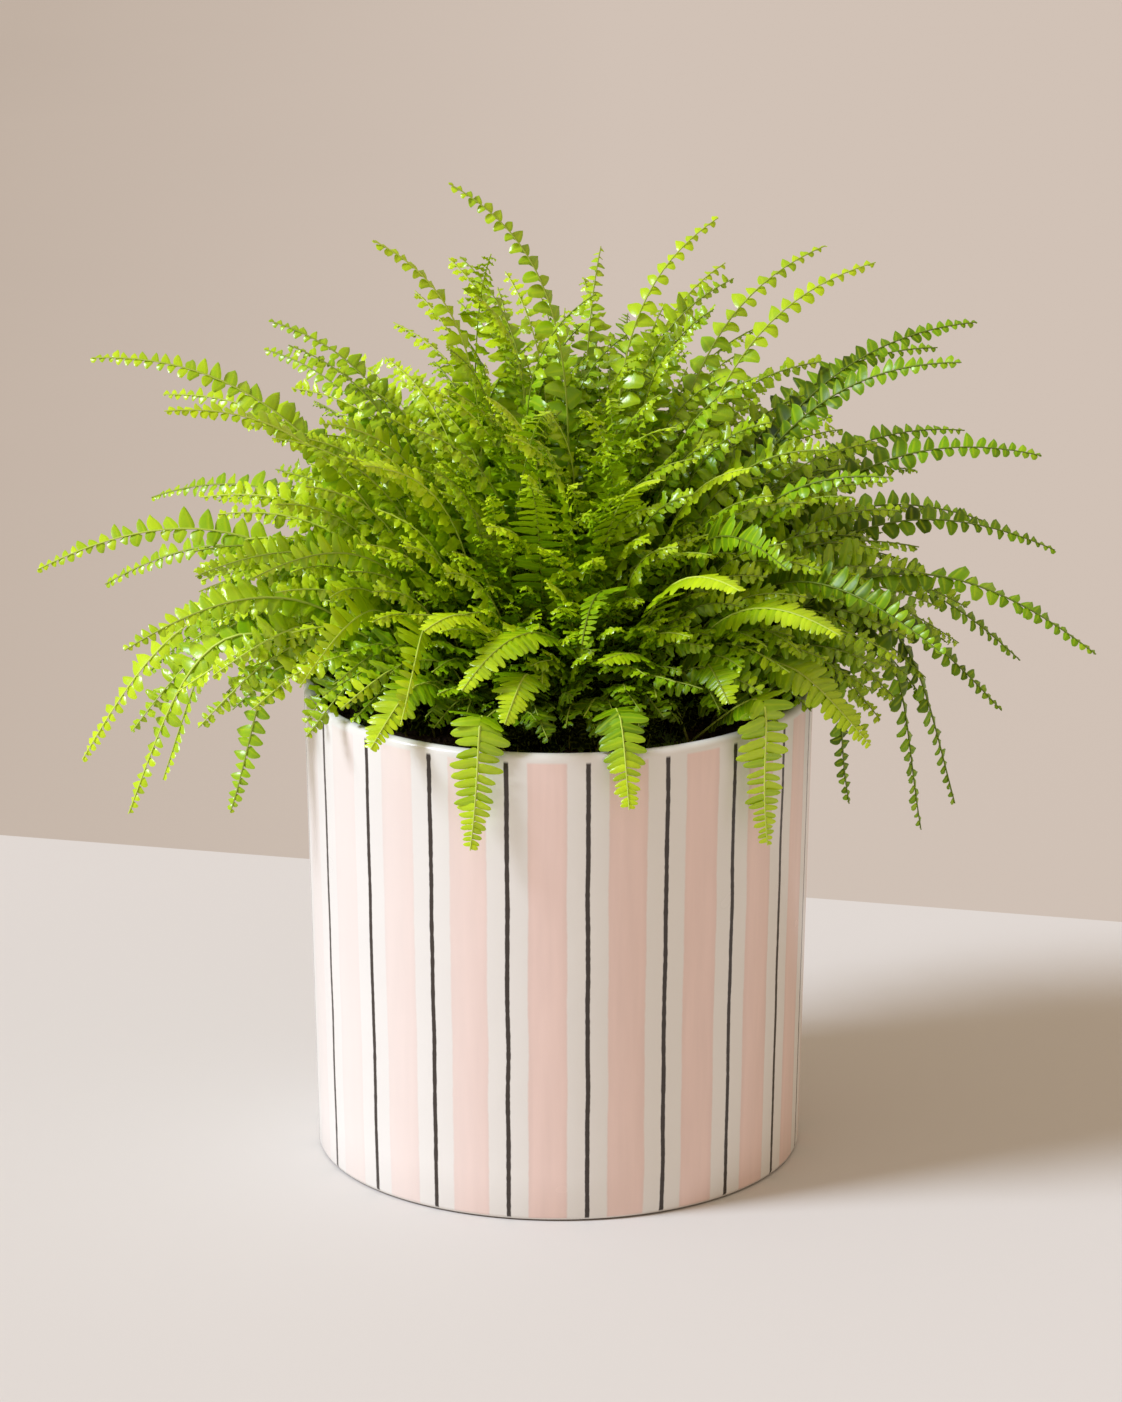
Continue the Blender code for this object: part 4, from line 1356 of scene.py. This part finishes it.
def living_leaflet(settings):
    """A living fern leaflet, thin and waxy: light shines yellow-green through it, the skin has a soft
    gloss, and the middle vein, the margin and the young leaflets near the tip are paler. Leaflets deep in the
    plant, close over the soil and on its right side are painted darker, as painted shade."""
    made, add = new_material(LEAF_NAME)
    place = add("ShaderNodeTexCoord").outputs["Object"]
    along, frond_tone, leaflet_tone, margin = [
        add("ShaderNodeAttribute", attribute_name=key).outputs["Fac"]
        for key in ("along", "frond_tone", "leaflet_tone", "margin")]
    mottle = add("ShaderNodeTexNoise", {"Vector": place, "Scale": 1 / LEAF_MOTTLE, "Detail": 2.0})
    youth_and_shade = add("ShaderNodeMapRange", {
        "Value": along, "From Min": 0.20, "To Min": YOUTH_ALONG[0], "To Max": YOUTH_ALONG[1]})
    for value, share in ((frond_tone, YOUTH_OF_FROND), (leaflet_tone, YOUTH_OF_LEAFLET)):
        youth_and_shade = add("ShaderNodeMath", value, share, youth_and_shade, operation="MULTIPLY_ADD")
    youth_and_shade = add("ShaderNodeMath", mottle, YOUTH_OF_MOTTLE, youth_and_shade, operation="MULTIPLY_ADD", use_clamp=True)
    # Painted shade: deep in the plant, low on a frond and close over the soil, leaflets are darker.
    youth_and_shade = add("ShaderNodeMath", youth_and_shade, open_to_light(add, place, along), operation="MULTIPLY")

    older = add("ShaderNodeMapRange", {"Value": youth_and_shade, "From Min": 0.05, "From Max": 0.42})
    younger = add("ShaderNodeMapRange", {"Value": youth_and_shade, "From Min": 0.42, "From Max": 0.98})
    vein = add("ShaderNodeMapRange", {"Value": margin, "From Max": 0.28, "To Min": 0.45, "To Max": 0.0})
    rim = add("ShaderNodeMapRange", {"Value": margin, "From Min": 0.75, "To Max": 0.30})
    colour = rgba(settings.shaded_leaf)
    for share, coat in ((older, settings.old_leaf), (younger, settings.young_leaf),
                        (vein, settings.young_leaf), (rim, settings.young_leaf)):
        colour = add("ShaderNodeMix", share, colour, rgba(coat), data_type="RGBA")
    bump = add("ShaderNodeBump", {"Height": mottle, "Strength": 0.35, "Distance": LEAF_MOTTLE_HEIGHT})
    # The skin of the young leaflets is waxier.
    wax = add("ShaderNodeMapRange", {
        "Value": youth_and_shade, "From Min": 0.15, "From Max": 0.60, "To Min": 0.28, "To Max": 0.85})
    dullness = add("ShaderNodeMapRange", {
        "Value": youth_and_shade, "From Min": 0.15, "From Max": 0.60, "To Min": 0.40, "To Max": 0.27})
    skin = add("ShaderNodeBsdfPrincipled", {
        "Base Color": colour, "Roughness": dullness, "IOR": 1.45, "Specular IOR Level": wax, "Normal": bump})
    through = add("ShaderNodeMix", youth_and_shade, rgba(settings.shaded_leaf), rgba(settings.see_through),
                  data_type="RGBA")
    glow = add("ShaderNodeBsdfTranslucent", through)
    shader = add("ShaderNodeMixShader", LIGHT_THROUGH, skin, glow)
    add("ShaderNodeOutputMaterial", shader)
    return made


def living_stalk(settings):
    """A living fern stalk: brown and woody at its foot, then green, palest on the youngest fronds, and a bit
    glossy. Ribs on the plant's right side are painted darker, as painted shade."""
    made, add = new_material(STALK_NAME)
    place = add("ShaderNodeTexCoord").outputs["Object"]
    along, tone = [add("ShaderNodeAttribute", attribute_name=key).outputs["Fac"] for key in Guide.KEPT]
    fibres = add("ShaderNodeTexNoise", {"Vector": place, "Scale": 1 / STALK_FIBRE, "Detail": 2.0})
    green = add("ShaderNodeMapRange", {"Value": along, "From Min": 0.02, "From Max": 0.18})
    green = add("ShaderNodeMath", fibres, 0.25, green, operation="MULTIPLY_ADD", use_clamp=True)
    # The rib follows its frond's tone, which is lowered on the right side as painted shade.
    pale = add("ShaderNodeMapRange", {"Value": tone, "From Min": -0.1, "From Max": 0.6})
    rib = add("ShaderNodeMix", pale, rgba(settings.old_and_shaded_rib), rgba(settings.rib), data_type="RGBA")
    colour = add("ShaderNodeMix", green, rgba(settings.stalk), rib, data_type="RGBA")
    bump = add("ShaderNodeBump", {"Height": fibres, "Strength": 0.3, "Distance": STALK_FIBRE_HEIGHT})
    shader = add("ShaderNodeBsdfPrincipled", {"Base Color": colour, "Roughness": 0.5, "Normal": bump})
    add("ShaderNodeOutputMaterial", shader)
    return made


class LeafyPieces:
    """What the frond operators share: the materials, the leaflet shapes and the tree. Use it in a with
    statement."""

    def __init__(self, settings, outlines, detail):
        self.settings = settings
        self.outlines = outlines
        self.detail = detail

    def __enter__(self):
        self.leaf = bpy.data.materials.get(LEAF_NAME) or living_leaflet(self.settings)
        self.stalk = bpy.data.materials.get(STALK_NAME) or living_stalk(self.settings)
        self.shapes = {side: shape_collection(f"{side} leaflet shapes", [
            leaflet_shape(f"{side}_{name}", outline, self.detail, 1 if side == "left" else -1)
            for name, outline in self.outlines.items()]) for side in ("left", "right")}
        self.tree = frond_tree()
        return self

    def __exit__(self, *raised):
        remove_shapes(*self.shapes.values())

    def grow(self, guide, name, seed, *nodes):
        settings = self.settings
        piece = grown(guide.as_object(name), self.tree, {
            "Left leaflets": self.shapes["left"], "Right leaflets": self.shapes["right"],
            "Wave": settings.wave, "Wave length": settings.wave_length, "Seed": settings.seed + seed,
            "Leaf": self.leaf, "Rib": self.stalk})
        for key in Guide.VECTORS + Guide.NUMBERS:
            layer = piece.data.attributes.get(key)
            if layer and key not in Guide.KEPT:
                piece.data.attributes.remove(layer)
        finished(piece, "leaf", *nodes)


class FERN_OT_fronds(bpy.types.Operator):
    """Grows every frond of the plant, each in place of its solid"""
    bl_idname = "fern.fronds"
    bl_label = "Fronds"

    def execute(self, context):
        settings = context.scene.fern_fronds
        draw = random.Random(settings.seed)
        with (LeafyPieces(settings, LONG_OUTLINES, FRONT_LEAFLET) as front_pieces,
              LeafyPieces(settings, DOMED_OUTLINES, TALL_LEAFLET) as tall_pieces):
            for i, (name, sheets) in enumerate(frond_sheets().items()):
                if name not in frame["nodes"]:
                    raise RuntimeError(f"the packed model has no node named {name}")
                place = name.split("_")[1]
                way = LEAFLET_WAYS[place]
                guide = Guide()
                for sheet in sheets:
                    guide.follow(sheet, way, draw.uniform(*way.tones), in_soil=sheet is sheets[0])
                pieces = front_pieces if place == "front" else tall_pieces
                pieces.grow(guide, name.replace("frond", "leafy"), i, name)
        return {"FINISHED"}


def young_sheets(seed):
    """The young fronds: they stand evenly all round, and fill the plant out to a share of its reach."""
    draw = random.Random(seed)
    low = Vector((0, 0, soil_top(0)))
    for i in range(YOUNG_FRONDS):
        heading = i * GOLDEN_TURN
        frontness = max(0.0, -math.sin(heading))
        most_fall = YOUNG_MOST_FALL + (YOUNG_FRONT_FALL - YOUNG_MOST_FALL) * frontness
        highest, lowest = math.cos(YOUNG_LEAST_FALL), math.cos(most_fall)
        fall = math.acos(highest + (lowest - highest) * (i + 0.5) / YOUNG_FRONDS)
        way = Vector((math.sin(fall) * math.cos(heading), math.sin(fall) * math.sin(heading), math.cos(fall)))
        deep = YOUNG_REACH["front" if way.y < 0 else "back"]
        reach = 1 / Vector((way.x / YOUNG_REACH["across"], way.y / deep, way.z / YOUNG_REACH["up"])).length
        most = YOUNG_SHARE[1] + (YOUNG_FRONT_SHARE - YOUNG_SHARE[1]) * max(0.0, -way.y)
        tip = low + way * reach * draw.uniform(YOUNG_SHARE[0], most)
        moved = [draw.uniform(-YOUNG_FEET_MOVED, YOUNG_FEET_MOVED) for _ in range(2)]
        roll = draw.uniform(-YOUNG_ROLL, YOUNG_ROLL)
        spine = Spine(foot_of(tip, moved), tip, roll, draw.uniform(-YOUNG_SWAY, YOUNG_SWAY))
        sheet = Sheet(spine, SIDE_STALK_WIDTH, 0.0, LEAFLET_PITCH)
        sheet.start *= YOUNG_BARE
        if clears_pot(sheet):
            yield sheet


class FERN_OT_young_fronds(bpy.types.Operator):
    """Grows the young fronds that fill the middle of the plant"""
    bl_idname = "fern.young_fronds"
    bl_label = "Young fronds"

    def execute(self, context):
        settings = context.scene.fern_fronds
        draw = random.Random(settings.seed)
        way = LEAFLET_WAYS["young"]
        guides = [Guide() for _ in range(YOUNG_PIECES)]
        for sheet in young_sheets(settings.seed):
            heading = sheet.spine.heading
            turn = math.atan2(heading.y, heading.x) / (2 * math.pi) % 1
            # Painted shade: fronds heading to the right, away from the key light, get a lower tone and look
            # darker.
            tone = draw.uniform(*way.tones) * (YOUNG_TONE + YOUNG_SHADE_RIGHTWARD * heading.x)
            guides[int(turn * YOUNG_PIECES)].follow(sheet, way, tone, in_soil=True)
        with LeafyPieces(settings, SHORT_OUTLINES, YOUNG_LEAFLET) as pieces:
            for i, guide in enumerate(guides, 1):
                pieces.grow(guide, f"young_fronds_{i:02d}", YOUNG_SEED_FROM + i)
        return {"FINISHED"}


# The stage


class FernStageSettings(bpy.types.PropertyGroup):
    floor: FloatVectorProperty(name="Floor", description="The colour of the floor",
                               default=linear("#D9D5CF"), size=3, subtype="COLOR")
    backdrop: FloatVectorProperty(name="Backdrop", description="The colour of the backdrop",
                                  default=linear("#B9AD9F"), size=3, subtype="COLOR")
    key_strength: FloatProperty(name="Key light", description="How strong the large light is", default=3.4)
    key_colour: FloatVectorProperty(name="Key colour", description="The colour of the large light",
                                    default=linear("#E2EDFF"), size=3, subtype="COLOR")
    fill: FloatProperty(name="Fill light", description="How bright the even light is", default=0.58)
    fill_colour: FloatVectorProperty(name="Fill colour", description="The colour of the even light",
                                     default=linear("#FFE8D0"), size=3, subtype="COLOR")


def matt_paper(name, colour, paler):
    """Matt seamless paper: a dull, even surface with barely visible mottling, and paler to the right by
    this much in red, green and blue, which on the backdrop is painted light."""
    made, add = new_material(name)
    place = add("ShaderNodeTexCoord").outputs["Object"]
    mottle = add("ShaderNodeTexNoise", {"Vector": place, "Scale": 1 / PAPER_MOTTLE, "Detail": 3.0})
    across = add("ShaderNodeSeparateXYZ", place).outputs["X"]
    rightward = add("ShaderNodeMapRange", {"Value": across, "From Min": PALER_FROM, "From Max": PALER_TO})
    tint = rgba(colour)
    paler_tint = rgba([channel * more for channel, more in zip(colour, paler)])
    # Paler to the right: on the backdrop, this is painted light.
    for share, other in ((mottle, rgba(colour, 0.95)), (rightward, paler_tint)):
        tint = add("ShaderNodeMix", share, tint, other, data_type="RGBA")
    shader = add("ShaderNodeBsdfPrincipled", {
        "Base Color": tint, "Roughness": 0.85, "Specular IOR Level": 0.2})
    add("ShaderNodeOutputMaterial", shader)
    return made


class FERN_OT_stage(bpy.types.Operator):
    """Sets up the floor, the backdrop, the lights and the photograph's camera"""
    bl_idname = "fern.stage"
    bl_label = "Stage"

    def execute(self, context):
        settings = context.scene.fern_stage
        along = (FLOOR_END_RIGHT - FLOOR_END_LEFT).normalized()
        left = FLOOR_END_LEFT - along * FLOOR_REACH
        right = FLOOR_END_RIGHT + along * FLOOR_REACH
        front = Vector((0, -2 * FLOOR_REACH, 0))
        low, reach = -FLOOR_THICKNESS_SHOWN, GROUND_REACH
        ground = [(-reach, -reach, low), (reach, -reach, low), (reach, reach, low), (-reach, reach, low)]
        for name, corners, colour, paler in (
                ("floor", [left + front, right + front, right, left], settings.floor, FLOOR_PALER),
                ("backdrop", ground, settings.backdrop, BACKDROP_PAINTED_LIGHT)):
            paper = mesh_object(name, corners, [(0, 1, 2, 3)])
            paper.data.materials.append(matt_paper(f"matt {name} paper", colour, paler))
            paper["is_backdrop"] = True
        self.add_lights(context, settings)
        self.add_camera(context)
        context.scene.view_settings.view_transform = "Standard"
        return {"FINISHED"}

    def add_lights(self, context, settings):
        key = bpy.data.lights.new("key light", "SUN")
        key.energy = settings.key_strength
        key.angle = KEY_SOFTNESS
        key.color = settings.key_colour
        light = bpy.data.objects.new("key light", key)
        light.rotation_euler = KEY_FROM.to_track_quat("Z", "Y").to_euler()
        context.scene.collection.objects.link(light)
        world = bpy.data.worlds.new("even light")
        world.use_nodes = True
        background = world.node_tree.nodes["Background"]
        background.inputs["Color"].default_value = rgba(settings.fill_colour)
        background.inputs["Strength"].default_value = settings.fill
        context.scene.world = world

    def add_camera(self, context):
        data = bpy.data.cameras.new("camera")
        data.sensor_fit = "VERTICAL"
        data.sensor_height = SENSOR
        data.lens = FOCAL_PIXELS / PHOTO_HEIGHT * SENSOR
        camera = bpy.data.objects.new("camera", data)
        back = Vector((0, -math.cos(CAMERA_RAISED), math.sin(CAMERA_RAISED)))
        camera.location = CAMERA_TARGET + CAMERA_DISTANCE * back
        camera.rotation_euler = (-back).to_track_quat("-Z", "Y").to_euler()
        context.scene.collection.objects.link(camera)
        context.scene.camera = camera


class FERN_PT_panel(bpy.types.Panel):
    """Lists the pieces of the potted fern"""
    bl_idname = "FERN_PT_panel"
    bl_label = "Potted Boston fern"
    bl_space_type = "VIEW_3D"
    bl_region_type = "UI"
    bl_category = "Fern"

    def draw(self, context):
        for operator in OPERATORS:
            self.layout.operator(operator.bl_idname)


SETTINGS = {
    "fern_pot": FernPotSettings,
    "fern_soil": FernSoilSettings,
    "fern_fronds": FernFrondSettings,
    "fern_stage": FernStageSettings,
}
OPERATORS = (FERN_OT_stage, FERN_OT_pot, FERN_OT_soil, FERN_OT_fronds, FERN_OT_young_fronds)


def register():
    for made in (*SETTINGS.values(), *OPERATORS, FERN_PT_panel):
        bpy.utils.register_class(made)
    for name, settings in SETTINGS.items():
        setattr(bpy.types.Scene, name, PointerProperty(type=settings))


def unregister():
    for name in SETTINGS:
        delattr(bpy.types.Scene, name)
    for made in reversed((*SETTINGS.values(), *OPERATORS, FERN_PT_panel)):
        bpy.utils.unregister_class(made)


def main():
    register()
    bpy.ops.fern.stage()
    bpy.ops.fern.pot()
    bpy.ops.fern.soil()
    bpy.ops.fern.fronds()
    bpy.ops.fern.young_fronds()
    corners = {"cad": cad_bounds, "visual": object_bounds()}
    {name: [list(corner) for corner in box] for name, box in corners.items()}


if __name__ == "__main__":
    main()
